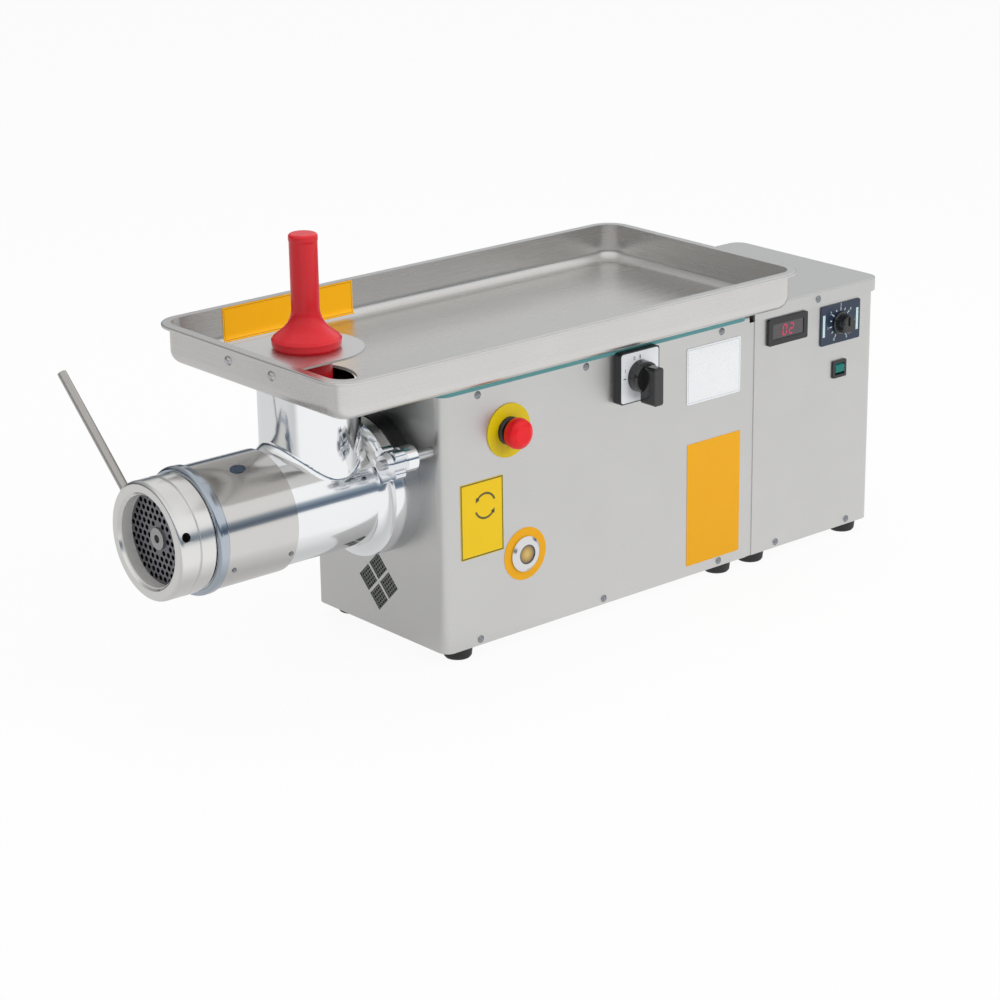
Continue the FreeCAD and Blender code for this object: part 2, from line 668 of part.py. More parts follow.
def mincing_plate():
    span = (PLATE_FRONT, PLATE_BACK)
    holes = [rod("x", (span[0] - 1, span[1] + 1), PIN_RADIUS + 0.1, AXIS)]
    holes.append(rod("x", KEY_SPAN, KEY_RADIUS + 0.1, KEY_CENTRE))
    reach = int(PLATE_RADIUS / PLATE_PITCH) + 1
    for row in range(-reach, reach + 1):
        for column in range(-reach, reach + 1):
            y = PLATE_PITCH * (column + row / 2)
            z = PLATE_PITCH * row * math.sqrt(3) / 2
            distance = math.hypot(y, z)
            if PIN_RADIUS + PLATE_HOLE + 1.5 < distance < MOUTH_RADIUS - PLATE_HOLE + 1.5:
                centre = (AXIS[0] + y, AXIS[1] + z)
                holes.append(rod("x", (span[0] - 1, span[1] + 1), PLATE_HOLE, centre))
    return without(rod("x", span, PLATE_RADIUS, AXIS), holes)


def plate_key():
    return rod("x", (PLATE_FRONT + 1, KEY_SPAN[1]), KEY_RADIUS, KEY_CENTRE)


def knife():
    length = BORE_RADIUS - 1.0
    hub = rod("x", KNIFE_SPAN, 17.0, AXIS)
    pieces = [hub]
    for turn in range(4):
        blade = box(KNIFE_SPAN, (0, length), (-7.0, 7.0))
        blade.Placement = Placement(Vector(0, *AXIS), Rotation(Vector(1, 0, 0), 90 * turn + 20))
        pieces.append(blade)
    cross = fused(pieces).common(rod("x", KNIFE_SPAN, length, AXIS))
    return cross.cut(square_bar(KNIFE_SQUARE + 0.2, KNIFE_SPAN))


def square_bar(side, span):
    """A square bar on the head's axis."""
    half = side / 2
    return box(span, (-half, half), (AXIS_HEIGHT - half, AXIS_HEIGHT + half))


def auger():
    front = KNIFE_SPAN[1]
    back = SHAFT_FRONT - 1.0
    core = turned("x", [(front, 0), (front, 16.0), (back, 21.0), (back, 0)], AXIS)
    pin = rod("x", (PLATE_FRONT - 2, KNIFE_SPAN[0]), PIN_RADIUS, AXIS)
    dimple = rod("x", (PLATE_FRONT - 3, PLATE_FRONT + 4), 4.0, AXIS)
    length = back - front - 12.0
    helix = Part.makeHelix(AUGER_PITCH, length, 30.0)
    inner = 12.0
    profile = Part.makePolygon([
        Vector(inner, 0, -5.0), Vector(AUGER_RADIUS, 0, -2.5),
        Vector(AUGER_RADIUS, 0, 2.5), Vector(inner, 0, 5.0), Vector(inner, 0, -5.0),
    ])
    flight = Part.Wire(helix.Edges).makePipeShell([profile], True, True)
    flight.Placement = Placement(Vector(front + 6.0, *AXIS), TO_X)
    square = square_bar(KNIFE_SQUARE, (KNIFE_SPAN[0], front + 1))
    tail = square_bar(SOCKET_SIDE - 2 * FIT, (back - 1, SHAFT_FRONT + SOCKET_DEPTH - 1))
    return fused([core, flight, pin.cut(dimple), square, tail])


def clamp_studs():
    return Part.makeCompound([
        rod("x", (CLAMP_FRONT - 4, GEARBOX_START + FRONT_WALL), STUD_RADIUS, stud) for stud in STUDS
    ])


def clamp_nut(stud):
    """A hand nut with four rounded lobes."""
    span = (CLAMP_FRONT, EAR_SPAN[0])
    hub = turned("x", [
        (span[0], 0), (span[0], 9.0), (span[0] + 5, 12.0), (span[1] - 4, 12.0), (span[1] - 3, 13.0),
        (span[1], 13.0), (span[1], 0),
    ], stud)
    lobes = [rod("x", (span[0] + 5, span[1] - 5), 5.0, polar(12.5, 90 * lobe + 45, stud)) for lobe in range(4)]
    return fused([hub] + lobes).cut(rod("x", (span[0] - 1, span[1] + 1), STUD_RADIUS + FIT, stud))


def cooling_collar():
    """The ring between the casing and the head, which carries the cold from the refrigerant lines."""
    return ring("x", (-COLLAR_WIDTH, 0), COLLAR_RADIUS, SPIGOT_RADIUS + FIT, AXIS)


# Drive

def gearbox_outline(inset):
    """The gear case's section: wide below for the layshaft, narrow above beside the controls."""
    low = DECK + inset
    side = INNER - GEARBOX_SIDE_GAP + SHEET - inset
    step = LAYSHAFT[1] + BIG_RADIUS + 2 * GEARBOX_WALL - inset
    top = AXIS_HEIGHT + BIG_RADIUS + 2 + GEARBOX_WALL - inset
    waist = BIG_RADIUS + 2 + GEARBOX_WALL - inset
    return [(-side, low), (side, low), (side, step), (waist, step),
            (waist, top), (-waist, top), (-waist, step), (-side, step)]


def gearbox_housing():
    inner_start = GEARBOX_START + FRONT_WALL
    body = prism("x", gearbox_outline(0), (inner_start, GEARBOX_END))
    cavity = prism("x", gearbox_outline(GEARBOX_WALL), (inner_start, GEARBOX_END + 1))
    side = INNER - GEARBOX_SIDE_GAP + SHEET
    plate_side = HALF - CORNER
    plate = box((GEARBOX_START, inner_start), (-plate_side, plate_side),
                (VENT_HEIGHT + 40, AXIS_HEIGHT + FLANGE_RADIUS - 5))
    nose = rod("x", (0, inner_start), NOSE_RADIUS, AXIS)
    boss = rod("x", (inner_start, OUTPUT_FRONT_BEARING[1] + 2), 42.0, AXIS)
    lay_boss = rod("x", (inner_start, LAY_FRONT_BEARING[1] + 2), 27.0, LAYSHAFT)
    case = fused([body.cut(cavity), plate, nose, boss, lay_boss])
    tools = [
        rod("x", (-1, OUTPUT_FRONT_BEARING[0]), SHAFT_RADIUS + 1, AXIS),
        rod("x", (OUTPUT_FRONT_BEARING[0], OUTPUT_FRONT_BEARING[1] + 3), BIG_BEARING + FIT, AXIS),
        rod("x", (LAY_FRONT_BEARING[0], LAY_FRONT_BEARING[1] + 3), SMALL_BEARING + FIT, LAYSHAFT),
        rod("y", (-side - 1, GEARBOX_WALL + 1 - side), SIGHT_BODY + FIT, SIGHT_CENTRE),
    ]
    tools += [rod("x", (GEARBOX_START - 1, inner_start), STUD_RADIUS + FIT, stud) for stud in STUDS]
    tools += [rod("x", (GEARBOX_START - 1, inner_start + 1), LINE_RADIUS + LOOSE, run) for run in LINE_RUNS]
    tools += [rod("z", (DECK - 1, DECK + 5), FOOT_STUD + 3, centre) for centre in foot_places()]
    return without(case, tools)


def gearbox_cover():
    plate = prism("x", gearbox_outline(0), (GEARBOX_END, COVER_END))
    front = REAR_BEARING[0] - 3
    bosses = [
        rod("x", (front, GEARBOX_END), MEDIUM_BEARING + 6, AXIS),
        rod("x", (front, GEARBOX_END), SMALL_BEARING + 6, LAYSHAFT),
        rod("x", (front, GEARBOX_END), MEDIUM_BEARING + 6, MOTOR),
    ]
    tools = [
        rod("x", (front - 1, REAR_BEARING[1]), MEDIUM_BEARING + FIT, AXIS),
        rod("x", (front - 1, REAR_BEARING[1]), SMALL_BEARING + FIT, LAYSHAFT),
        rod("x", (MOTOR_FRONT_BEARING[0], COVER_END + 1), MEDIUM_BEARING + FIT, MOTOR),
        rod("x", (front - 1, MOTOR_FRONT_BEARING[0]), MOTOR_SHAFT + 2, MOTOR),
    ]
    return without(fused([plate] + bosses), tools)


def bearing(span, outer, inner, centre):
    return ring("x", span, outer, inner + FIT, centre)


def gearbox_bearings():
    return Part.makeCompound([
        bearing(OUTPUT_FRONT_BEARING, BIG_BEARING, OUTPUT_SEAT, AXIS),
        bearing(REAR_BEARING, MEDIUM_BEARING, OUTPUT_TAIL, AXIS),
        bearing(LAY_FRONT_BEARING, SMALL_BEARING, LAY_SEAT, LAYSHAFT),
        bearing(REAR_BEARING, SMALL_BEARING, LAY_SEAT, LAYSHAFT),
    ])


def output_shaft():
    shaft = turned("x", [
        (SHAFT_FRONT, 0), (SHAFT_FRONT, SHAFT_RADIUS), (OUTPUT_FRONT_BEARING[0], SHAFT_RADIUS),
        (OUTPUT_FRONT_BEARING[0], OUTPUT_SEAT), (OUTPUT_FRONT_BEARING[1], OUTPUT_SEAT),
        (OUTPUT_FRONT_BEARING[1], 24.0), (WHEEL_SPAN[0], 24.0), (WHEEL_SPAN[0], WHEEL_SEAT),
        (WHEEL_SPAN[1], WHEEL_SEAT), (WHEEL_SPAN[1], OUTPUT_TAIL), (REAR_BEARING[1], OUTPUT_TAIL),
        (REAR_BEARING[1], 0),
    ], AXIS)
    return shaft.cut(square_bar(SOCKET_SIDE, (SHAFT_FRONT - 1, SHAFT_FRONT + SOCKET_DEPTH)))


def output_gear():
    first_tooth = direction(AXIS, LAYSHAFT) + 180 / BIG_TEETH
    return gear(BIG_TEETH, WHEEL_SPAN, WHEEL_SEAT + FIT, first_tooth, AXIS)


def layshaft():
    shaft = turned("x", [
        (LAY_FRONT_BEARING[0], 0), (LAY_FRONT_BEARING[0], LAY_SEAT), (LAY_FRONT_BEARING[1], LAY_SEAT),
        (LAY_FRONT_BEARING[1], LAY_BODY), (FIRST_SPAN[1], LAY_BODY), (FIRST_SPAN[1], LAY_SEAT),
        (REAR_BEARING[1], LAY_SEAT), (REAR_BEARING[1], 0),
    ], LAYSHAFT)
    pinion = gear(SMALL_TEETH, (WHEEL_SPAN[0] - 2, WHEEL_SPAN[1] + 2), 0, direction(LAYSHAFT, AXIS), LAYSHAFT)
    return fused([shaft, pinion])


def layshaft_gear():
    first_tooth = direction(LAYSHAFT, MOTOR) + 180 / BIG_TEETH
    return gear(BIG_TEETH, FIRST_SPAN, LAY_BODY + FIT, first_tooth, LAYSHAFT)


def motor_rotor():
    core = (STATOR_SPAN[0] + 2, STATOR_SPAN[1] - 2)
    pinion_span = (FIRST_SPAN[0] - 2, FIRST_SPAN[1] + 2)
    shaft = turned("x", [
        (pinion_span[0], 0), (pinion_span[0], MOTOR_SHAFT), (core[0], MOTOR_SHAFT), (core[0], ROTOR_RADIUS),
        (core[1], ROTOR_RADIUS), (core[1], MOTOR_SHAFT), (MOTOR_REAR_BEARING[1], MOTOR_SHAFT),
        (MOTOR_REAR_BEARING[1], FAN_SEAT), (MOTOR_END + 25, FAN_SEAT), (MOTOR_END + 25, 0),
    ], MOTOR)
    pinion = gear(SMALL_TEETH, pinion_span, 0, direction(MOTOR, LAYSHAFT), MOTOR)
    return fused([shaft, pinion])


def motor_frame():
    inner = MOTOR_RADIUS - 6
    parts = [rod("x", (COVER_END, MOTOR_END), MOTOR_RADIUS, MOTOR)]
    for turn in range(0, 360, 20):
        fin = box((COVER_END + 12, MOTOR_END - 20), (MOTOR_RADIUS - 2, MOTOR_RADIUS + 3), (-1.5, 1.5))
        fin.Placement = Placement(Vector(0, *MOTOR), Rotation(Vector(1, 0, 0), turn + 10))
        parts.append(fin)
    parts.append(box((COVER_END + 20, MOTOR_END - 20), (MOTOR[0] - 30, MOTOR[0] + 30), (DECK, MOTOR[1] - 60)))
    tools = [
        rod("x", (COVER_END - 1, MOTOR_REAR_BEARING[0]), inner, MOTOR),
        rod("x", (MOTOR_REAR_BEARING[0] - 1, MOTOR_REAR_BEARING[1]), MEDIUM_BEARING + FIT, MOTOR),
        rod("x", (MOTOR_REAR_BEARING[1] - 1, MOTOR_END + 1), FAN_SEAT + 1, MOTOR),
    ]
    return without(fused(parts), tools)


def stator():
    """The wound core: a laminated ring with the ends of its windings standing out."""
    core = ring("x", STATOR_SPAN, MOTOR_RADIUS - 6 - FIT, ROTOR_RADIUS + 0.5, MOTOR)
    ends = (STATOR_SPAN[0] - 14, STATOR_SPAN[1] + 14)
    return fused([core, ring("x", ends, MOTOR_RADIUS - 12, ROTOR_RADIUS + 6, MOTOR)])


def motor_bearings():
    return Part.makeCompound([
        bearing(MOTOR_FRONT_BEARING, MEDIUM_BEARING, MOTOR_SHAFT, MOTOR),
        bearing(MOTOR_REAR_BEARING, MEDIUM_BEARING, MOTOR_SHAFT, MOTOR),
    ])


def fan(span, hub_radius, tip_radius, bore, blades, pitch, centre):
    """A fan along X: a hub and flat blades set at a pitch angle."""
    middle = (span[0] + span[1]) / 2
    parts = [rod("x", span, hub_radius, centre)]
    for blade in range(blades):
        leaf = box((-1.5, 1.5), (hub_radius - 3, tip_radius), (-hub_radius * 0.7, hub_radius * 0.7))
        leaf.rotate(Vector(0, 0, 0), Vector(0, 1, 0), pitch)
        leaf.rotate(Vector(0, 0, 0), Vector(1, 0, 0), 360 * blade / blades)
        leaf.translate(Vector(middle, *centre))
        parts.append(leaf)
    return fused(parts).cut(rod("x", (span[0] - 1, span[1] + 1), bore, centre))


def motor_fan():
    return fan((MOTOR_END + 8, MOTOR_END + 25), 18.0, 60.0, FAN_SEAT + FIT, 7, 55, MOTOR)


def contactor():
    x = (MOTOR_END - 60, MOTOR_END + 20)
    block = box(x, (INNER - 40, INNER), (TOP - 58, TOP - 10))
    steps = [box((x[0] + 8, x[1] - 8), (INNER - 46, INNER - 39), (TOP - 44, TOP - 24))]
    steps += [rod("y", (INNER - 44, INNER - 39), 3.0, (x[0] + 10 + 15 * row, z))
              for row in range(5) for z in (TOP - 51, TOP - 17)]
    return fused([block] + steps)


# Refrigeration unit

def compressor():
    radius = COMPRESSOR_RADIUS
    base = DECK + 12
    top = base + 132
    shell = turned("z", [
        (base, 0), (base, radius - 14), (base + 12, radius), (top - 26, radius, -QUARTER),
        (top, radius - 30), (top, 0),
    ], COMPRESSOR)
    seam = rod("z", (base + 66, base + 72), radius + 2, COMPRESSOR)
    legs = [rod("z", (DECK, base + 8), 7.0, (COMPRESSOR[0] + x, COMPRESSOR[1] + y))
            for x in (-26, 26) for y in (-26, 26)]
    ports = [rod("z", (top - 4, top + 6), 6.0, (COMPRESSOR[0] + step, COMPRESSOR[1] + step))
             for step in (-LINE_STEP, LINE_STEP)]
    return fused([shell, seam] + legs + ports)


def condenser():
    x = (REAR_END - 38, REAR_END - 8)
    y = (-76.0, 76.0)
    z = (DECK + 6, DECK + 190)
    plates = [box(x, (side, side + 2), (DECK, z[1] + 4)) for side in (y[0], y[1] - 2)]
    fins = [box(x, (y[0] + 10 * fin, y[0] + 10 * fin + 1), z) for fin in range(1, 15)]
    tubes = [rod("y", (y[0] - 4, y[1] + 4), 4.0, (x[0] + 8 + 14 * column, z[0] + 16 + 25 * row))
             for column in range(2) for row in range(7)]
    return fused(plates + fins + tubes)


def condenser_fan_motor():
    foot = box((FAN_X - 44, FAN_X - 40), (FAN[0] - 18, FAN[0] + 18), (DECK, FAN[1]))
    can = rod("x", (FAN_X - 44, FAN_X - 10), 18.0, FAN)
    shaft = rod("x", (FAN_X - 12, FAN_X + 4), 3.0, FAN)
    return fused([foot, can, shaft])


def condenser_fan():
    return fan((FAN_X - 6, FAN_X + 6), 14.0, 52.0, 3.0 + FIT, 5, 60, FAN)


def pipe(points, bend, radius):
    """A tube of straight runs joined by equal bends."""
    edges = []
    start = points[0]
    for corner, after in zip(points[1:-1], points[2:]):
        into = (corner - start).normalize()
        out = (after - corner).normalize()
        first = corner - into * bend
        last = corner + out * bend
        bisector = (out - into).normalize()
        centre_distance = bend * math.sqrt(2)
        middle = corner + bisector * (centre_distance - bend)
        edges.append(Part.LineSegment(start, first).toShape())
        edges.append(Part.Arc(first, middle, last).toShape())
        start = last
    edges.append(Part.LineSegment(start, points[-1]).toShape())
    heading = (points[1] - points[0]).normalize()
    circle = Part.Wire(Part.Circle(points[0], heading, radius).toShape())
    return Part.Wire(edges).makePipeShell([circle], True, True)


def refrigerant_lines():
    """The two lines from the compressor to the collar behind the head."""
    start = DECK + 150
    lines = []
    for side, run, rise in zip((1, -1), LINE_RUNS, (start + 60, start + 84)):
        x = COMPRESSOR[0] + side * LINE_STEP
        y = COMPRESSOR[1] + side * LINE_STEP
        lines.append(pipe([
            Vector(x, y, start), Vector(x, y, rise), Vector(x, run[0], rise), Vector(x, *run), Vector(0, *run),
        ], 7.0, LINE_RADIUS))
    return Part.makeCompound(lines)


def cable_gland():
    centre = GLAND_CENTRE
    shape = [
        (REAR_END - 7, 5.0), (REAR_END - 7, GLAND_BODY), (REAR_END, GLAND_BODY), (REAR_END, 12.0),
        (REAR_END + 5, 12.0), (REAR_END + 6, 10.5), (REAR_END + 12, 10.0), (REAR_END + 16, 7.5),
        (REAR_END + 16, 5.0),
    ]
    lock_nut = prism("x", hexagon(24.0, centre), (REAR_END - SHEET - 5, REAR_END - SHEET))
    lock_nut = lock_nut.cut(rod("x", (REAR_END - 8, REAR_END), 5.0, centre))
    return fused([turned("x", shape, centre), lock_nut])


# Controls

def inside(area, margin):
    """A control's (x, x, drop, drop) as x and z pairs, drawn in by a margin."""
    x = (area[0] + margin, area[1] - margin)
    return (x, (TOP - area[3] + margin, TOP - area[2] - margin))


def middle_of(area):
    return ((area[0] + area[1]) / 2, TOP - (area[2] + area[3]) / 2)


def on_rear(area):
    """A control's area on the rear casing, with its length measured from the front sheet."""
    return (REAR_START + area[0], REAR_START + area[1], *area[2:])


def estop_plate():
    return ring("y", (-HALF - 1.2, -HALF), 27.0, ESTOP_BODY + LOOSE, ESTOP_CENTRE)


def estop_collar():
    front = -HALF - 5.5
    block = box((ESTOP_CENTRE[0] - 15, ESTOP_CENTRE[0] + 15), (15 - HALF, 44 - HALF),
                (ESTOP_CENTRE[1] - 18, ESTOP_CENTRE[1] + 18))
    barrel = turned("y", [
        (front, 0), (front, 12.5), (front + 1.5, 14.0), (-HALF - 1.2, 14.0), (-HALF - 1.2, ESTOP_BODY),
        (16 - HALF, ESTOP_BODY), (16 - HALF, 0),
    ], ESTOP_CENTRE)
    return fused([barrel, block]).cut(rod("y", (front - 1, 30 - HALF), STEM_RADIUS + FIT, ESTOP_CENTRE))


def estop_stem():
    return rod("y", (-HALF - 17, 24 - HALF), STEM_RADIUS, ESTOP_CENTRE)


def estop_cap():
    front = -HALF - 23
    back = -HALF - 10
    cap = turned("y", [
        (front, 0), (front, 9.0, -0.12), (front + 3.5, 14.5), (front + 8, 15.5), (back - 1, 15.0),
        (back, 13.5), (back, 0),
    ], ESTOP_CENTRE)
    return cap.cut(rod("y", (-HALF - 17.2, back + 1), STEM_RADIUS + FIT, ESTOP_CENTRE))


def switch_box():
    half = SWITCH_SIDE / 2
    x = (SWITCH_CENTRE[0] - half, SWITCH_CENTRE[0] + half)
    z = (SWITCH_CENTRE[1] - half, SWITCH_CENTRE[1] + half)
    base = prism("y", rectangle(x, z, 3.0), (-HALF - SWITCH_DEPTH, -HALF))
    neck = rod("y", (-HALF - 1, 3 - HALF), SWITCH_SPINDLE + 2 - FIT, SWITCH_CENTRE)
    block = box((SWITCH_CENTRE[0] - 22, SWITCH_CENTRE[0] + 22), (SHEET - HALF, 48 - HALF),
                (SWITCH_CENTRE[1] - 22, SWITCH_CENTRE[1] + 22))
    return fused([base, neck, block]).cut(
        rod("y", (-HALF - SWITCH_DEPTH - 1, 14 - HALF), SWITCH_SPINDLE + FIT, SWITCH_CENTRE))


def switch_knob():
    face = -HALF - SWITCH_DEPTH
    hub = turned("y", [
        (face - 12, 0), (face - 12, 14.5), (face - 10, 16.0), (face - LOOSE, 16.5), (face - LOOSE, 0),
    ], SWITCH_CENTRE)
    x = (SWITCH_CENTRE[0] - 6.5, SWITCH_CENTRE[0] + 6.5)
    z = (SWITCH_CENTRE[1] - 26.0, SWITCH_CENTRE[1] + 13.0)
    grip = prism("y", rectangle(x, z, 3.0), (face - KNOB_DEPTH, face - 8))
    grip = softened(grip, 1.5, "Y", [face - KNOB_DEPTH])
    spindle = rod("y", (face - 2, 10 - HALF), SWITCH_SPINDLE, SWITCH_CENTRE)
    return fused([hub, grip, spindle])


def plate(area, thickness, corner):
    """A flat plate on the control side."""
    x, z = inside(area, 0)
    return prism("y", rectangle(x, z, corner), (-HALF - thickness, -HALF))


def orange_labels():
    """The long notice label and the ring around the sight glass."""
    disc = ring("y", (-HALF - 0.3, -HALF), SIGHT_LABEL, SIGHT_BODY + LOOSE, SIGHT_CENTRE)
    return Part.makeCompound([plate(NOTICE_LABEL, 0.3, 1.5), disc])


def rating_plate():
    return plate(RATING_PLATE, 0.6, 2.0)


def sight_glass_bezel():
    inner_end = GEARBOX_SIDE_GAP + GEARBOX_WALL - HALF - 1
    return turned("y", [
        (-HALF - 4, 10.0 + FIT), (-HALF - 4, SIGHT_BEZEL - 3), (-HALF - 2, SIGHT_BEZEL),
        (-HALF - 0.3, SIGHT_BEZEL), (-HALF - 0.3, SIGHT_BODY), (inner_end, SIGHT_BODY), (inner_end, 8.0),
        (2 - HALF, 8.0), (2 - HALF, 10.0 + FIT),
    ], SIGHT_CENTRE)


def sight_glass_lens():
    return rod("y", (-HALF - 3, 2 - HALF), 10.0, SIGHT_CENTRE)


def display_case():
    x, z = inside(DISPLAY, 4.0 + FIT)
    bezel = prism("y", rectangle(*inside(DISPLAY, 0), 2.0), (-HALF - 3, -HALF))
    recess = prism("y", rectangle(*inside(DISPLAY, 6.0), 1.0), (-HALF - 4, -HALF - 1.5))
    return fused([bezel.cut(recess), box(x, (-HALF, 35 - HALF), z)])


def thermostat_case():
    """The thermostat's face plate, and its switch behind the panel."""
    x, z = THERMOSTAT_CENTRE
    neck = rod("y", (-HALF - 1, 2 - HALF), THERMOSTAT_NECK, THERMOSTAT_CENTRE)
    body = box((x - 20, x + 20), (SHEET - HALF, 34 - HALF), (z - 18, z + 18))
    case = fused([plate(THERMOSTAT, 1.5, 2.0), neck, body])
    return case.cut(rod("y", (-HALF - 3, 22 - HALF), THERMOSTAT_SPINDLE + FIT, THERMOSTAT_CENTRE))


def thermostat_knob():
    face = -HALF - 1.5
    knob = turned("y", [
        (face - 14, 0), (face - 14, THERMOSTAT_KNOB - 4), (face - 12.5, THERMOSTAT_KNOB - 2.5),
        (face - 3, THERMOSTAT_KNOB - 1.5), (face - 2, THERMOSTAT_KNOB), (face - LOOSE, THERMOSTAT_KNOB),
        (face - LOOSE, 0),
    ], THERMOSTAT_CENTRE)
    x, z = THERMOSTAT_CENTRE
    rib = box((x - 1.5, x + 1.5), (face - 15.5, face - 10), (z - 1, z + THERMOSTAT_KNOB - 3))
    spindle = rod("y", (face - 2, 20 - HALF), THERMOSTAT_SPINDLE, THERMOSTAT_CENTRE)
    return fused([knob, rib, spindle])


def rocker_frame():
    x, z = inside(ROCKER, 0)
    hole_x, hole_z = inside(ROCKER, 3.2)
    bezel = prism("y", rectangle(x, z, 1.5), (-HALF - 2, -HALF))
    body = box(*[inside(ROCKER, 1.5 + FIT)[0], (-HALF, 14 - HALF), inside(ROCKER, 1.5 + FIT)[1]])
    pocket = box(hole_x, (-HALF - 3, 13 - HALF), hole_z)
    return fused([bezel, body]).cut(pocket)


def rocker():
    """The rocker's section is a slice of a roller, so that it clears its frame as it tips."""
    x, z = inside(ROCKER, 3.5)
    roller = rod("x", x, ROCKER_RADIUS, (ROCKER_PIVOT_Y, middle_of(ROCKER)[1]))
    height = middle_of(ROCKER)[1]
    section = [
        (ROCKER_PIVOT_Y - 6, height - 6), (ROCKER_PIVOT_Y - 5.2, height), (ROCKER_PIVOT_Y - 6, height + 6),
        (ROCKER_PIVOT_Y + 3, height + 6), (ROCKER_PIVOT_Y + 3, height - 6),
    ]
    return roller.common(prism("x", section, x))


def vent_grille():
    """The perforated plate behind the vent's cells."""
    half = (2 * VENT_CELL + VENT_BAR) / math.sqrt(2) + 2.5
    z = VENT_HEIGHT
    points = [(half, z), (0, z + half), (-half, z), (0, z - half)]
    grille = prism("x", points, (SHEET, SHEET + 1.0))
    step = (VENT_CELL + VENT_BAR) / 2
    holes = []
    for across in (-step, step):
        for up in (-step, step):
            for column in range(-2, 3):
                for row in range(-2, 3):
                    u = across + 3.6 * column
                    v = up + 3.6 * row
                    centre = ((u - v) / math.sqrt(2), z + (u + v) / math.sqrt(2))
                    holes.append(rod("x", (SHEET - 1, SHEET + 2), 1.3, centre))
    return without(grille, holes)


# Sizes and places shared by pieces that meet

BIG_RADIUS = MODULE * BIG_TEETH / 2 + MODULE
NOSE_RADIUS = 60.0
SHAFT_RADIUS = 22.0
OUTPUT_SEAT = 20.0
WHEEL_SEAT = 18.0
OUTPUT_TAIL = 12.5
LAY_SEAT = 8.5
LAY_BODY = 12.0
MOTOR_SHAFT = 12.5
FAN_SEAT = 10.0
ROTOR_RADIUS = 40.0
BIG_BEARING = 34.0
MEDIUM_BEARING = 26.0
SMALL_BEARING = 20.0
OUTPUT_FRONT_BEARING = (8.0, 23.0)
LAY_FRONT_BEARING = (8.0, 20.0)
REAR_BEARING = (COVER_END - 17.0, COVER_END - 4.0)
MOTOR_FRONT_BEARING = (COVER_END - 15.0, COVER_END)
MOTOR_REAR_BEARING = (MOTOR_END - 19.0, MOTOR_END - 4.0)
BORE_END = -20.0
EAR_RADIUS = 13.0
EAR_SPAN = (FLANGE_FRONT - 7.0, FLANGE_FRONT + 5.0)
STUDS = [(side * STUD_SPREAD, AXIS_HEIGHT + STUD_RISE) for side in (-1, 1)]
CLAMP_FRONT = EAR_SPAN[0] - 22.0
BAR_HOLE_DEPTH = MOUTH_RADIUS + 2.0
BAR_PLANE = NUT_FRONT + BAR_SETBACK
KEY_RADIUS = 2.5
KEY_SPAN = (PLATE_FRONT - 1, PLATE_BACK + 8)
KEY_CENTRE = polar(PLATE_RADIUS, -90, AXIS)
KNIFE_SQUARE = 18.0
BOLT_RADIUS = 2.5
GUARD_BOLTS = [(side * GUARD_BOLT_SPACING / 2, GUARD_TOP - 7.5) for side in (-1, 1)]
FOOT_STUD = 3.0
STUD_HOLE = FOOT_STUD + 0.1
ESTOP_CENTRE = (ESTOP[0], TOP - ESTOP[1])
ESTOP_BODY = 11.0
STEM_RADIUS = 5.0
SWITCH_CENTRE = (SWITCH[0], TOP - SWITCH[1])
SWITCH_SPINDLE = 4.0
SIGHT_CENTRE = (SIGHT_GLASS[0], TOP - SIGHT_GLASS[1])
SIGHT_BODY = 13.0
THERMOSTAT_SPINDLE = 3.0
THERMOSTAT_NECK = 6.0
DISPLAY = on_rear(DISPLAY_AREA)
THERMOSTAT = on_rear(THERMOSTAT_AREA)
ROCKER = on_rear(ROCKER_AREA)
THERMOSTAT_CENTRE = middle_of(THERMOSTAT)
ROCKER_RADIUS = 6.0
ROCKER_PIVOT_Y = 3.0 - HALF
GLAND_BODY = 10.0
GLAND_CENTRE = (GLAND[0], FLOOR + GLAND[1])
COMPRESSOR_RADIUS = 50.0
COMPRESSOR = (REAR_START + 57.0, -46.0)
FAN_X = REAR_END - 48.0
FAN = (38.0, DECK + 105.0)
LINE_RADIUS = 3.0
LINE_STEP = 13.0
LINE_RUNS = [(62.0, AXIS_HEIGHT + 34.0), (69.5, AXIS_HEIGHT + 19.0)]
BASE_MIDDLE = Vector(
    (NUT_FRONT + REAR_END + 16.0) / 2,
    (max(TRAY_FAR, HALF) - max(TRAY_NEAR, HALF + SWITCH_DEPTH + KNOB_DEPTH)) / 2,
    0,
)


def save(name, shape):
    """Write one piece, moved to the part's origin."""
    moved = shape.copy()
    moved.translate(-BASE_MIDDLE)
    moved.exportStep("parts/" + name + ".step")
    print(f"{name:22s} solids {len(shape.Solids):3d}  valid {shape.isValid()}  cm3 {shape.Volume / 1000:9.2f}")


PIECES = [
    front_shell, front_base, rear_shell, rear_base, rear_lid, feet, casing_screws, tray_seal,
    tray, feed_guard, guard_screws, pusher,
    head_casting, barrel_sleeve, barrel_ring, ring_nut, tommy_bar, mincing_plate, plate_key, knife, auger,
    clamp_studs, cooling_collar,
    gearbox_housing, gearbox_cover, gearbox_bearings, output_shaft, output_gear, layshaft, layshaft_gear,
    motor_rotor, motor_frame, stator, motor_bearings, motor_fan, contactor,
    compressor, condenser, condenser_fan_motor, condenser_fan, refrigerant_lines, cable_gland,
    estop_plate, estop_collar, estop_stem, estop_cap, switch_box, switch_knob, orange_labels, rating_plate,
    sight_glass_bezel, sight_glass_lens, display_case, thermostat_case, thermostat_knob,
    rocker_frame, rocker, vent_grille,
]

os.makedirs("parts", exist_ok=True)
for piece in PIECES:
    save(piece.__name__, piece())
save("near_clamp_nut", clamp_nut(STUDS[0]))
save("far_clamp_nut", clamp_nut(STUDS[1]))
print("origin", BASE_MIDDLE)
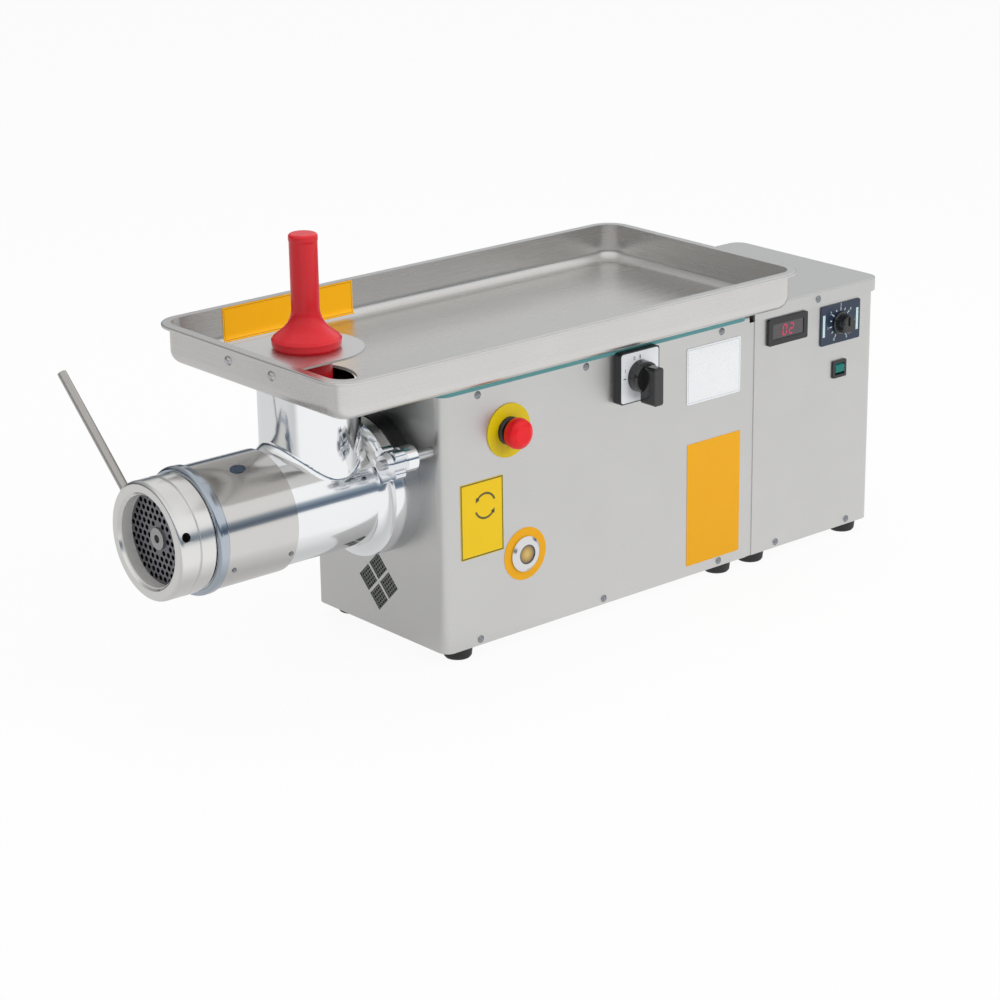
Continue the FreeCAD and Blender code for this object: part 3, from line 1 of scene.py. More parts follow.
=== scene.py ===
# %% [markdown]
# # A bench mincer with a cooled head
# The machine is a pair of folded steel casings in line, a polished cast head and a deep steel tray.
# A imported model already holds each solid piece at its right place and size, so this lesson doesn't
# model those. It gives them their finishes, adds the thin things that a solid model leaves out,
# such as plates, dial marks and display digits, and then lights them in a plain studio.

import math

import bmesh
import bpy
from mathutils import Euler, Matrix, Vector


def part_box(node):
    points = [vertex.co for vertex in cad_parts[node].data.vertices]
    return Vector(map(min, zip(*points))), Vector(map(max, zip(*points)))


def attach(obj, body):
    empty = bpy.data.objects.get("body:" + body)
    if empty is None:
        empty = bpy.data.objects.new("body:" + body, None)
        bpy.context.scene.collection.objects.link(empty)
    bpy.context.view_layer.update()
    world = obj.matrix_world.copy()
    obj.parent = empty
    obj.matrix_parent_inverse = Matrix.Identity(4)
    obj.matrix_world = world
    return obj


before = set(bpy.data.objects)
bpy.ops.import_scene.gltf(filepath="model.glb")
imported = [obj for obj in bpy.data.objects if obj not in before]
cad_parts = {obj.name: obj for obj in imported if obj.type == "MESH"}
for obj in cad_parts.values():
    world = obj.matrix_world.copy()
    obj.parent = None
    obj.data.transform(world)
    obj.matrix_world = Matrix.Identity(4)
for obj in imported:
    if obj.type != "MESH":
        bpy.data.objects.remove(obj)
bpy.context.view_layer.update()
print("pieces loaded:", len(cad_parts))

# %% [markdown]
# ## Small helpers for shader trees
# A finish is a tree of shader nodes. It could be built by hand in the Shader Editor, but a tree
# written as code can be read and repeated. A few helpers keep it short: they add a node and fill
# its inputs, do a sum, tint or mix colours, and start and end a node group with named sockets.

# %% Add a node, do a sum
def add_node(tree, kind, inputs=None, **settings):
    """A new node. Each input is filled with a value, or joined to a socket."""
    node = tree.nodes.new(kind)
    for name, value in settings.items():
        setattr(node, name, value)
    for name, value in (inputs or {}).items():
        if isinstance(value, bpy.types.NodeSocket):
            tree.links.new(value, node.inputs[name])
        else:
            node.inputs[name].default_value = value
    return node


def sums(tree, operation, *values):
    """The result of a Math node."""
    return add_node(tree, "ShaderNodeMath", dict(enumerate(values)), operation=operation).outputs[0]


def tinted(tree, colour, factor):
    """A colour made lighter or darker by a factor that changes over the surface."""
    scaled = add_node(tree, "ShaderNodeVectorMath", {0: colour, "Scale": factor}, operation="SCALE")
    return scaled.outputs[0]


def mixed(tree, factor, first, second):
    """A colour between two others."""
    node = add_node(tree, "ShaderNodeMix", data_type="RGBA")
    for socket, value in zip((node.inputs[0], node.inputs[6], node.inputs[7]), (factor, first, second)):
        if isinstance(value, bpy.types.NodeSocket):
            tree.links.new(value, socket)
        else:
            socket.default_value = value
    return node.outputs[2]


# %% Start a node group
SOCKETS = {"colour": "NodeSocketColor", "value": "NodeSocketFloat", "vector": "NodeSocketVector"}


def new_group(name, inputs, outputs):
    """A node group with named sockets. Returns the group, and the sockets that its inputs arrive at."""
    group = bpy.data.node_groups.new(name, "ShaderNodeTree")
    for label, (kind, value) in inputs.items():
        socket = group.interface.new_socket(name=label, in_out="INPUT", socket_type=SOCKETS[kind])
        if value is not None:
            socket.default_value = value
    for label, kind in outputs.items():
        group.interface.new_socket(name=label, in_out="OUTPUT", socket_type=SOCKETS[kind])
    return group, group.nodes.new("NodeGroupInput").outputs


def put_out(group, results):
    """Joins a group's results to its named outputs."""
    end = group.nodes.new("NodeGroupOutput")
    for label, socket in results.items():
        group.links.new(socket, end.inputs[label])
    print("group:", group.name)


# %% [markdown]
# ## Brushed grain
# Stainless sheet comes from the mill with fine lines along one direction. An image of scratches
# would do, but a noise that is stretched a hundred times along the sheet gives the same lines at
# any distance. On an upright face the lines run level. On a level face they run along the machine,
# so the group looks at which way the face points and picks one of two stretched noises.

# %% Group: brushed grain
brushed, given = new_group("Brushed grain", {
    "Vector": ("vector", None), "Colour": ("colour", (0.6, 0.6, 0.6, 1)), "Roughness": ("value", 0.4),
    "Contrast": ("value", 0.06), "Fineness": ("value", 900.0),
}, {"Colour": "colour", "Roughness": "value", "Height": "value"})
ALONG = 9.0
LEVEL_SLOPE = 0.7
place = add_node(brushed, "ShaderNodeSeparateXYZ", {"Vector": given["Vector"]})
across_y = sums(brushed, "MULTIPLY", place.outputs["Y"], given["Fineness"])
across_z = sums(brushed, "MULTIPLY", place.outputs["Z"], given["Fineness"])
slow = [sums(brushed, "MULTIPLY", place.outputs[axis], ALONG) for axis in "XYZ"]
upright = add_node(brushed, "ShaderNodeCombineXYZ", {"X": slow[0], "Y": slow[1], "Z": across_z})
level = add_node(brushed, "ShaderNodeCombineXYZ", {"X": slow[0], "Y": across_y, "Z": slow[2]})
facing = add_node(brushed, "ShaderNodeTexCoord")
facing = add_node(brushed, "ShaderNodeSeparateXYZ", {"Vector": facing.outputs["Normal"]})
is_level = sums(brushed, "GREATER_THAN", sums(brushed, "ABSOLUTE", facing.outputs["Z"]), LEVEL_SLOPE)
lines = mixed(brushed, is_level, upright.outputs[0], level.outputs[0])
lines = add_node(brushed, "ShaderNodeTexNoise", {
    "Vector": lines, "Scale": 1.0, "Detail": 2.0, "Roughness": 0.6,
})
offset = sums(brushed, "SUBTRACT", lines.outputs["Fac"], 0.5)
shade = sums(brushed, "MULTIPLY_ADD", offset, given["Contrast"], 1.0)
put_out(brushed, {
    "Colour": tinted(brushed, given["Colour"], shade),
    "Roughness": sums(brushed, "MULTIPLY_ADD", offset, 0.25, given["Roughness"]),
    "Height": lines.outputs["Fac"],
})

# %% [markdown]
# ## Turned rings
# A lathe leaves rings round the turning axis. Any point's ring is given by two numbers, how far
# along the axis it is and how far from the axis, so a noise that reads only those two draws perfect
# rings on a cylinder, on a cone and on a flat end alike. The axis is X here. A Mapping node in each
# material turns and centres it.

# %% Group: turned rings
rings, given = new_group("Turned rings", {
    "Vector": ("vector", None), "Colour": ("colour", (0.7, 0.7, 0.7, 1)), "Roughness": ("value", 0.2),
    "Contrast": ("value", 0.06), "Fineness": ("value", 1500.0),
}, {"Colour": "colour", "Roughness": "value", "Height": "value"})
place = add_node(rings, "ShaderNodeSeparateXYZ", {"Vector": given["Vector"]})
square = [sums(rings, "POWER", place.outputs[axis], 2.0) for axis in "YZ"]
radius = sums(rings, "SQRT", sums(rings, "ADD", *square))
ring_place = add_node(rings, "ShaderNodeCombineXYZ", {
    "X": sums(rings, "MULTIPLY", place.outputs["X"], given["Fineness"]),
    "Y": sums(rings, "MULTIPLY", radius, given["Fineness"]),
})
lines = add_node(rings, "ShaderNodeTexNoise", {
    "Vector": ring_place.outputs[0], "Scale": 1.0, "Detail": 3.0, "Roughness": 0.65,
})
offset = sums(rings, "SUBTRACT", lines.outputs["Fac"], 0.5)
shade = sums(rings, "MULTIPLY_ADD", offset, given["Contrast"], 1.0)
put_out(rings, {
    "Colour": tinted(rings, given["Colour"], shade),
    "Roughness": sums(rings, "MULTIPLY_ADD", offset, 0.2, given["Roughness"]),
    "Height": lines.outputs["Fac"],
})

# %% [markdown]
# ## Handling marks
# Nothing that is used stays evenly glossy. Wiping and handling leave soft patches that are a little
# duller. A low, cloudy noise that shifts the roughness does most of this, and a trace of it in the
# colour helps. The group takes a colour and a roughness, so it can follow any other group in a
# material.

# %% Group: handling marks
marks, given = new_group("Handling marks", {
    "Vector": ("vector", None), "Colour": ("colour", (0.5, 0.5, 0.5, 1)), "Roughness": ("value", 0.4),
    "Amount": ("value", 0.1), "Size": ("value", 0.06),
}, {"Colour": "colour", "Roughness": "value"})
patch = add_node(marks, "ShaderNodeTexNoise", {
    "Vector": given["Vector"], "Scale": sums(marks, "DIVIDE", 1.0, given["Size"]),
    "Detail": 4.0, "Roughness": 0.55,
})
patch = sums(marks, "SUBTRACT", patch.outputs["Fac"], 0.5)
shade = sums(marks, "MULTIPLY_ADD", sums(marks, "MULTIPLY", patch, given["Amount"]), -0.4, 1.0)
put_out(marks, {
    "Colour": tinted(marks, given["Colour"], shade),
    "Roughness": sums(marks, "MULTIPLY_ADD", patch, given["Amount"], given["Roughness"]),
})

# %% [markdown]
# ## Moulded skin
# Plastic and rubber copy their mould, which is etched or only roughly polished. A fine even noise
# gives the skin its grain, and the same noise moves the roughness so that highlights break up a
# little.

# %% Group: moulded skin
skin, given = new_group("Moulded skin", {
    "Vector": ("vector", None), "Colour": ("colour", (0.1, 0.1, 0.1, 1)), "Roughness": ("value", 0.4),
    "Fineness": ("value", 1500.0), "Contrast": ("value", 0.1),
}, {"Colour": "colour", "Roughness": "value", "Height": "value"})
grain = add_node(skin, "ShaderNodeTexNoise", {
    "Vector": given["Vector"], "Scale": given["Fineness"], "Detail": 2.0, "Roughness": 0.5,
})
offset = sums(skin, "SUBTRACT", grain.outputs["Fac"], 0.5)
put_out(skin, {
    "Colour": tinted(skin, given["Colour"], sums(skin, "MULTIPLY_ADD", offset, given["Contrast"], 1.0)),
    "Roughness": sums(skin, "MULTIPLY_ADD", offset, 0.2, given["Roughness"]),
    "Height": grain.outputs["Fac"],
})

# %% [markdown]
# ## Printed border
# A sticker or a nameplate usually has a thin line just inside its edge. It could be a separate
# strip of mesh, but ink has no thickness, so it is a mask: the distance to the nearest edge of a
# rectangle lies between two limits.

# %% Group: printed border
border, given = new_group("Printed border", {
    "Vector": ("vector", None), "Half Width": ("value", 0.02), "Half Height": ("value", 0.02),
    "Inset": ("value", 0.001), "Line": ("value", 0.001),
}, {"Mask": "value"})
place = add_node(border, "ShaderNodeSeparateXYZ", {"Vector": given["Vector"]})
to_side = sums(border, "SUBTRACT", given["Half Width"], sums(border, "ABSOLUTE", place.outputs["X"]))
to_end = sums(border, "SUBTRACT", given["Half Height"], sums(border, "ABSOLUTE", place.outputs["Z"]))
to_edge = sums(border, "MINIMUM", to_side, to_end)
past_inset = sums(border, "GREATER_THAN", to_edge, given["Inset"])
before_end = sums(border, "LESS_THAN", to_edge, sums(border, "ADD", given["Inset"], given["Line"]))
put_out(border, {"Mask": sums(border, "MULTIPLY", past_inset, before_end)})

# %% [markdown]
# ## From groups to materials
# Each material starts from the piece's own Object coordinates, so its pattern stays on the piece
# when that moves. The helper chains one surface group and the handling marks, and joins them to the
# Principled shader. Numbers that are the same all over a surface, such as Metallic, are set on the
# shader itself.

# %% Start a material
def centred(tree, centre=(0, 0, 0), turn=(0, 0, 0)):
    """Object coordinates measured from a centre, and turned by angles in degrees."""
    rotation = Euler([math.radians(angle) for angle in turn])
    return add_node(tree, "ShaderNodeMapping", {
        "Vector": add_node(tree, "ShaderNodeTexCoord").outputs["Object"],
        "Location": -(rotation.to_matrix() @ Vector(centre)),
        "Rotation": rotation,
    }).outputs[0]


def new_material(name, **constants):
    """A material, its tree and its Principled shader, with the shader's constant inputs set."""
    material = bpy.data.materials.new(name)
    material.use_nodes = True
    shader = material.node_tree.nodes["Principled BSDF"]
    for label, value in constants.items():
        shader.inputs[label.replace("_", " ")].default_value = value
    return material, material.node_tree, shader


def use_group(tree, group, inputs):
    """The outputs of a group placed in a material, with its own values."""
    return add_node(tree, "ShaderNodeGroup", inputs, node_tree=group).outputs


def surface(name, group, colour, roughness, contrast, fineness, depth, wear=0.08, patch=0.07,
            centre=(0, 0, 0), turn=(0, 0, 0), **constants):
    """A material from one surface group and the handling marks, with a bump of a depth in metres."""
    material, tree, shader = new_material(name, **constants)
    vector = centred(tree, centre, turn)
    base = use_group(tree, group, {
        "Vector": vector, "Colour": (*colour, 1), "Roughness": roughness,
        "Contrast": contrast, "Fineness": fineness,
    })
    worn = use_group(tree, marks, {
        "Vector": vector, "Colour": base["Colour"], "Roughness": base["Roughness"],
        "Amount": wear, "Size": patch,
    })
    bump = add_node(tree, "ShaderNodeBump", {"Height": base["Height"], "Strength": 1.0, "Distance": depth})
    tree.links.new(worn["Colour"], shader.inputs["Base Color"])
    tree.links.new(worn["Roughness"], shader.inputs["Roughness"])
    tree.links.new(bump.outputs["Normal"], shader.inputs["Normal"])
    return material


def put_on(material, *nodes):
    """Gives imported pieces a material."""
    for node in nodes:
        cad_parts[node].material_slots[0].material = material
    print(material.name, "on", ", ".join(nodes))


def middle(node):
    """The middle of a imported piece's box."""
    low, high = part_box(node)
    return (low + high) / 2


# %% [markdown]
# ## The steel casings
# Both casings, their bottom pans and the rear lid are folded from 1.5 mm brushed stainless sheet.
# It is a satin metal: it mirrors the bright room, but so softly that a face reads as an even pale
# grey.

# %% Casing steel
casing_steel = surface("casing steel", brushed, (0.64, 0.635, 0.625), 0.40, 0.10, 900.0, 4e-6,
                       Metallic=1.0)
put_on(casing_steel, "front_shell", "front_base", "rear_shell", "rear_base", "rear_lid")

# %% [markdown]
# The tray is pressed from smoother sheet, which shows the walls mirrored in the floor. The guard
# over its mouth is a lighter plate with a duller grain.

# %% Tray and guard steel
tray_steel = surface("tray steel", brushed, (0.66, 0.65, 0.635), 0.30, 0.05, 1200.0, 1e-6,
                     wear=0.10, patch=0.09, Metallic=1.0)
guard_steel = surface("guard steel", brushed, (0.78, 0.775, 0.765), 0.38, 0.06, 1200.0, 2e-6, Metallic=1.0)
put_on(tray_steel, "tray")
put_on(guard_steel, "feed_guard")

# %% [markdown]
# Screws and studs are zinc plated. The plating is bright, and slightly bluer than stainless steel.

# %% Zinc
zinc = surface("zinc plate", skin, (0.55, 0.55, 0.56), 0.30, 0.15, 2500.0, 1e-6, Metallic=1.0)
dull_zinc = surface("dull zinc", skin, (0.30, 0.31, 0.33), 0.42, 0.20, 2500.0, 1e-6, Metallic=1.0)
put_on(zinc, "guard_screws", "clamp_studs")
put_on(dull_zinc, "casing_screws")

# %% [markdown]
# ## The polished head
# The head is cast aluminium, ground and then polished on a mop. Its surface mirrors the studio, and
# slow waves left by the mop bend those reflections. A wide, shallow noise in the bump gives the
# waves.

# %% Polished aluminium
polished, tree, shader = new_material("polished aluminium", Metallic=1.0)
vector = centred(tree)
worn = use_group(tree, marks, {
    "Vector": vector, "Colour": (0.87, 0.88, 0.89, 1), "Roughness": 0.10, "Amount": 0.08, "Size": 0.05,
})
waves = add_node(tree, "ShaderNodeTexNoise", {
    "Vector": vector, "Scale": 28.0, "Detail": 1.0, "Roughness": 0.4,
})
swirl = add_node(tree, "ShaderNodeTexNoise", {
    "Vector": vector, "Scale": 600.0, "Detail": 2.0, "Roughness": 0.5,
})
height = sums(tree, "MULTIPLY_ADD", swirl.outputs["Fac"], 0.01, waves.outputs["Fac"])
bump = add_node(tree, "ShaderNodeBump", {"Height": height, "Strength": 1.0, "Distance": 0.0001})
tree.links.new(worn["Colour"], shader.inputs["Base Color"])
tree.links.new(worn["Roughness"], shader.inputs["Roughness"])
tree.links.new(bump.outputs["Normal"], shader.inputs["Normal"])
put_on(polished, "head_casting")

# %% [markdown]
# The barrel's jacket, its front ring and the ring nut are turned steel. All three use the ring
# group, centred on the head's axis. The jacket is satin and a little warm, the ring is polished
# hard, and the nut keeps its tool marks.

# %% Turned steel round the head's axis
head_axis = middle("mincing_plate")
jacket_steel = surface("jacket steel", rings, (0.64, 0.625, 0.61), 0.13, 0.06, 1400.0, 1e-6,
                       centre=head_axis, Metallic=1.0)
ring_steel = surface("ring steel", rings, (0.45, 0.50, 0.56), 0.13, 0.05, 1800.0, 1e-6,
                     centre=head_axis, Metallic=1.0)
nut_steel = surface("nut steel", rings, (0.76, 0.755, 0.74), 0.20, 0.12, 1100.0, 6e-6,
                    centre=head_axis, Metallic=1.0)
put_on(jacket_steel, "barrel_sleeve")
put_on(ring_steel, "barrel_ring")
put_on(nut_steel, "ring_nut")

# %% [markdown]
# Two places on the nut look different from the turned steel. Its mouth is bored to a dull, light finish,
# and the holes for the bar are painted near black as shade inside them. Each place is a zone round the
# axis: a span along it and a span of radius.

# %% Mouth and bar holes of the nut
def between(tree, value, low, high):
    """A mask that is 1 where a value lies between two limits."""
    above = sums(tree, "GREATER_THAN", value, low)
    return sums(tree, "MULTIPLY", above, sums(tree, "LESS_THAN", value, high))


NUT_MOUTH_RADIUS = 0.045
BAR_HOLE = 0.008
BAR_HOLE_HALF = 0.0046
BAR_HOLE_RADII = (0.0455, 0.0570)
MOUTH_GREY = (0.80, 0.79, 0.77, 1)
HOLE_SHADE_BLACK = (0.03, 0.03, 0.03, 1)
tree = nut_steel.node_tree
shader = tree.nodes["Principled BSDF"]
turned = shader.inputs["Base Color"].links[0].from_socket
vector = centred(tree, (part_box("ring_nut")[0].x, head_axis.y, head_axis.z))
place = add_node(tree, "ShaderNodeSeparateXYZ", {"Vector": vector})
square = [sums(tree, "POWER", place.outputs[axis], 2.0) for axis in "YZ"]
radius = sums(tree, "SQRT", sums(tree, "ADD", *square))
in_mouth = sums(tree, "LESS_THAN", radius, NUT_MOUTH_RADIUS)
in_hole = sums(tree, "MULTIPLY", between(tree, radius, *BAR_HOLE_RADII),
               between(tree, place.outputs["X"], BAR_HOLE - BAR_HOLE_HALF, BAR_HOLE + BAR_HOLE_HALF))
colour = mixed(tree, in_mouth, turned, MOUTH_GREY)
# Painted shade: the bar holes are coloured near black and made less metallic, for the shade inside them.
colour = mixed(tree, in_hole, colour, HOLE_SHADE_BLACK)
tree.links.new(colour, shader.inputs["Base Color"])
dull = sums(tree, "MAXIMUM", in_mouth, in_hole)
tree.links.new(sums(tree, "MULTIPLY_ADD", dull, -0.9, 1.0), shader.inputs["Metallic"])
print("nut zones painted")

# %% [markdown]
# The plate and the knife are ground tool steel, which is darker than stainless. The worm is tinned
# iron.

# %% Tool steel, worm and bar
tool_steel = surface("tool steel", rings, (0.20, 0.20, 0.22), 0.34, 0.35, 700.0, 8e-6,
                     centre=head_axis, Metallic=1.0)
worm_iron = surface("worm iron", skin, (0.45, 0.45, 0.45), 0.42, 0.25, 700.0, 3e-5, Metallic=1.0)
bar_steel = surface("bar steel", skin, (0.50, 0.485, 0.46), 0.38, 0.20, 1200.0, 6e-6, Metallic=1.0)
put_on(tool_steel, "mincing_plate", "plate_key", "knife")
put_on(worm_iron, "auger")
put_on(bar_steel, "tommy_bar")

# %% [markdown]
# ## Drive and cooling set
# These pieces are behind the panels. They still get plain finishes that are right for them:
# machined and ground steel, cast aluminium, varnished windings, black enamel, fins and copper tube.

# %% Hidden finishes
machined = surface("machined steel", rings, (0.50, 0.50, 0.51), 0.30, 0.15, 900.0, 6e-6, Metallic=1.0)
ground = surface("bearing steel", rings, (0.66, 0.66, 0.68), 0.15, 0.05, 1800.0, 2e-6, Metallic=1.0)
laminated = surface("laminated steel", rings, (0.34, 0.34, 0.36), 0.45, 0.30, 2000.0, 1e-5,
                    Metallic=1.0)
cast = surface("cast aluminium", skin, (0.55, 0.56, 0.57), 0.55, 0.20, 400.0, 6e-5, Metallic=1.0)
winding = surface("varnished winding", skin, (0.38, 0.13, 0.04), 0.35, 0.45, 500.0, 1e-4,
                  Coat_Weight=0.4)
enamel = surface("black enamel", skin, (0.022, 0.022, 0.025), 0.30, 0.15, 250.0, 4e-5, Coat_Weight=0.3)
fins = surface("condenser fins", brushed, (0.58, 0.59, 0.60), 0.35, 0.12, 600.0, 6e-6, Metallic=1.0)
copper = surface("copper tube", skin, (0.72, 0.36, 0.20), 0.28, 0.20, 300.0, 1e-5, Metallic=1.0)
put_on(machined, "output_shaft", "output_gear", "layshaft", "layshaft_gear")
put_on(ground, "gearbox_bearings", "motor_bearings")
put_on(laminated, "motor_rotor")
put_on(cast, "gearbox_housing", "gearbox_cover", "motor_frame")
put_on(winding, "stator")
put_on(enamel, "compressor", "condenser_fan_motor")
put_on(fins, "condenser")
put_on(copper, "refrigerant_lines")

# %% [markdown]
# ## Plastics and rubber
# The pusher is turned or moulded from solid red food-grade plastic: glossy, and lit slightly from
# within, which a little subsurface light gives. The black parts are moulded nylon, and the feet are
# rubber.

# %% Red plastics
pusher_red = surface("pusher red", skin, (0.70, 0.012, 0.022), 0.22, 0.08, 1500.0, 1e-6,
                     wear=0.12, patch=0.04, Specular_IOR_Level=0.4,
                     Subsurface_Weight=0.08, Subsurface_Scale=0.004, Subsurface_Radius=(1.0, 0.15, 0.1))
cap_red = surface("cap red", skin, (0.82, 0.008, 0.014), 0.30, 0.08, 900.0, 6e-6,
                  Specular_IOR_Level=0.3)
put_on(pusher_red, "pusher")
put_on(cap_red, "estop_cap")

# %% Black plastics and rubber
nylon = surface("black nylon", skin, (0.020, 0.020, 0.022), 0.38, 0.25, 1400.0, 1e-5)
glossy_black = surface("glossy black", skin, (0.014, 0.014, 0.015), 0.18, 0.20, 900.0, 5e-6,
                       Coat_Weight=0.3)
rubber = surface("black rubber", skin, (0.022, 0.022, 0.023), 0.62, 0.30, 900.0, 3e-5, wear=0.25)
put_on(nylon, "contactor", "condenser_fan", "motor_fan", "cable_gland", "switch_box", "rocker_frame",
       "estop_collar", "display_case")
put_on(glossy_black, "switch_knob", "thermostat_knob")
put_on(rubber, "feet")

# %% [markdown]
# The collar that joins the head to the casing is satin steel. Its top is painted black as shade, for the
# dark gap under the tray that it lies in and mirrors. This painted shade is a zone of the collar's own
# material: a mask over the height above the axis.

# %% Collar and the painted shade on its top
TOP_SHADE_HEIGHT = 0.040
TOP_SHADE_FADE = 0.004
PAINTED_SHADE_BLACK = (0.012, 0.013, 0.015, 1)
collar_steel = surface("collar steel", rings, (0.50, 0.51, 0.53), 0.24, 0.10, 1200.0, 3e-6,
                       centre=head_axis, Metallic=1.0)
tree = collar_steel.node_tree
shader = tree.nodes["Principled BSDF"]
turned = shader.inputs["Base Color"].links[0].from_socket
place = add_node(tree, "ShaderNodeSeparateXYZ", {"Vector": centred(tree, head_axis)})
top_shade = add_node(tree, "ShaderNodeMapRange", {
    "Value": place.outputs["Z"],
    "From Min": TOP_SHADE_HEIGHT - TOP_SHADE_FADE, "From Max": TOP_SHADE_HEIGHT + TOP_SHADE_FADE,
}).outputs["Result"]
# Painted shade: above the mask's height the collar turns near black and stops being metal.
tree.links.new(mixed(tree, top_shade, turned, PAINTED_SHADE_BLACK), shader.inputs["Base Color"])
tree.links.new(sums(tree, "MULTIPLY_ADD", top_shade, -1.0, 1.0), shader.inputs["Metallic"])
put_on(collar_steel, "cooling_collar")

# %% [markdown]
# The strip under the tray is a soft sealing profile in blue-green. Seen edge on it is the only
# colour line on the long side, so it keeps a clear hue.

# %% Seal, stem, clamp nuts, grille
seal_teal = surface("seal teal", skin, (0.12, 0.35, 0.36), 0.50, 0.15, 700.0, 2e-5,
                    Specular_IOR_Level=0.3)
stem = surface("stem steel", rings, (0.60, 0.60, 0.60), 0.22, 0.08, 1500.0, 3e-6,
               centre=middle("estop_stem"), turn=(0, 0, 90), Metallic=1.0)
chrome = surface("clamp chrome", skin, (0.74, 0.76, 0.79), 0.10, 0.04, 500.0, 3e-6, wear=0.12, Metallic=1.0)
bezel_chrome = surface("bezel chrome", rings, (0.70, 0.70, 0.71), 0.16, 0.08, 1500.0, 3e-6,
                       centre=middle("sight_glass_bezel"), turn=(0, 0, 90), Metallic=1.0)
grille = surface("grille enamel", skin, (0.16, 0.17, 0.16), 0.45, 0.30, 900.0, 2e-5)
put_on(seal_teal, "tray_seal")
put_on(stem, "estop_stem")
put_on(chrome, "near_clamp_nut", "far_clamp_nut")
put_on(bezel_chrome, "sight_glass_bezel")
put_on(grille, "vent_grille")

# %% [markdown]
# ## Labels
# The labels carry no words. They are printed film, and the rating plate is foil. A label's own
# material draws the border line, from the size of its box.

# %% Label materials
def label_material(name, colour, ink, low, high, inset, line, roughness, **constants):
    """A blank printed label with a border line near the edge of its box."""
    material, tree, shader = new_material(name, **constants)
    vector = centred(tree, (low + high) / 2)
    half = (high - low) / 2
    paper = use_group(tree, skin, {
        "Vector": vector, "Colour": (*colour, 1), "Roughness": roughness,
        "Contrast": 0.02, "Fineness": 1600.0,
    })
    worn = use_group(tree, marks, {
        "Vector": vector, "Colour": paper["Colour"], "Roughness": paper["Roughness"],
        "Amount": 0.12, "Size": 0.03,
    })
    edge = use_group(tree, border, {
        "Vector": vector, "Half Width": half.x, "Half Height": half.z, "Inset": inset, "Line": line,
    })
    bump = add_node(tree, "ShaderNodeBump", {"Height": paper["Height"], "Strength": 1.0, "Distance": 1e-6})
    tree.links.new(mixed(tree, edge["Mask"], worn["Colour"], (*ink, 1)), shader.inputs["Base Color"])
    tree.links.new(worn["Roughness"], shader.inputs["Roughness"])
    tree.links.new(bump.outputs["Normal"], shader.inputs["Normal"])
    return material


low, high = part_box("rating_plate")
foil = label_material("rating foil", (0.84, 0.86, 0.88), (0.55, 0.58, 0.62), low, high,
                      0.0016, 0.0006, 0.30, Metallic=0.25)
put_on(foil, "rating_plate")
orange_film = surface("orange film", skin, (0.86, 0.41, 0.004), 0.38, 0.06, 900.0, 5e-6,
                      wear=0.12, patch=0.03, Specular_IOR_Level=0.25)
put_on(orange_film, "orange_labels")
yellow_disc = surface("yellow disc", skin, (0.74, 0.56, 0.006), 0.36, 0.06, 900.0, 5e-6,
                      wear=0.12, patch=0.03, Specular_IOR_Level=0.25)
put_on(yellow_disc, "estop_plate")

# %% [markdown]
# ## Dial plate, rocker and oil glass
# The thermostat's plate is printed dark blue. The rocker is see-through green with a lamp behind
# it, so it gets a faint glow. The sight glass shows amber oil with a dark rim, which a ramp over
# the radius paints.

# %% Dial blue, lamp green, oil amber
dial_blue = surface("dial blue", skin, (0.016, 0.028, 0.060), 0.32, 0.12, 1200.0, 4e-6)
lamp_green = surface("lamp green", skin, (0.0, 0.16, 0.14), 0.22, 0.10, 500.0, 5e-6,
                     Emission_Color=(0.02, 0.35, 0.28, 1), Emission_Strength=0.03, Specular_IOR_Level=0.3)
put_on(dial_blue, "thermostat_case")
put_on(lamp_green, "rocker")

OIL_RADIUS = 0.0105
oil, tree, shader = new_material("oil behind glass", Roughness=0.08, Coat_Weight=1.0,
                                 Coat_Roughness=0.03)
vector = centred(tree, middle("sight_glass_lens"))
place = add_node(tree, "ShaderNodeSeparateXYZ", {"Vector": vector})
square = [sums(tree, "POWER", place.outputs[axis], 2.0) for axis in "XZ"]
radius = sums(tree, "SQRT", sums(tree, "ADD", *square))
cloud = add_node(tree, "ShaderNodeTexNoise", {"Vector": vector, "Scale": 220.0, "Detail": 2.0})
radius = sums(tree, "MULTIPLY_ADD", cloud.outputs["Fac"], 0.001, radius)
ramp = add_node(tree, "ShaderNodeValToRGB", {"Fac": sums(tree, "DIVIDE", radius, OIL_RADIUS)})
stops = ramp.color_ramp.elements
stops[0].position, stops[0].color = 0.25, (0.62, 0.42, 0.08, 1)
stops[1].position, stops[1].color = 0.95, (0.03, 0.03, 0.035, 1)
warm = stops.new(0.62)
warm.color = (0.42, 0.24, 0.03, 1)
tree.links.new(ramp.outputs["Color"], shader.inputs["Base Color"])
put_on(oil, "sight_glass_lens")

# %% [markdown]
# ## Small helpers for meshes
# The remaining pieces are thin plates and marks. Each is drawn flat with mesh operators, given its
# thickness, and then stood up against a panel. The last helper turns a finished mesh into an object
# that rides on a body.

# %% Draw flat shapes
def rounded_plate(bm, width, height, corner, thickness, segments=5):
    """A flat plate with round corners, centred on the origin, with its back at z = 0."""
    verts = bmesh.ops.create_grid(bm, x_segments=1, y_segments=1, size=0.5)["verts"]
    bmesh.ops.scale(bm, vec=(width, height, 1), verts=verts)
    if corner:
        bmesh.ops.bevel(bm, geom=verts, offset=corner, segments=segments, profile=0.5,
                        affect="VERTICES", material=-1)
    thicken(bm, bm.faces[:], thickness)


def thicken(bm, faces, thickness):
    """Raises flat faces into a closed slab."""
    result = bmesh.ops.extrude_face_region(bm, geom=faces, use_keep_orig=True)
    top = [item for item in result["geom"] if isinstance(item, bmesh.types.BMVert)]
    bmesh.ops.translate(bm, vec=(0, 0, thickness), verts=top)


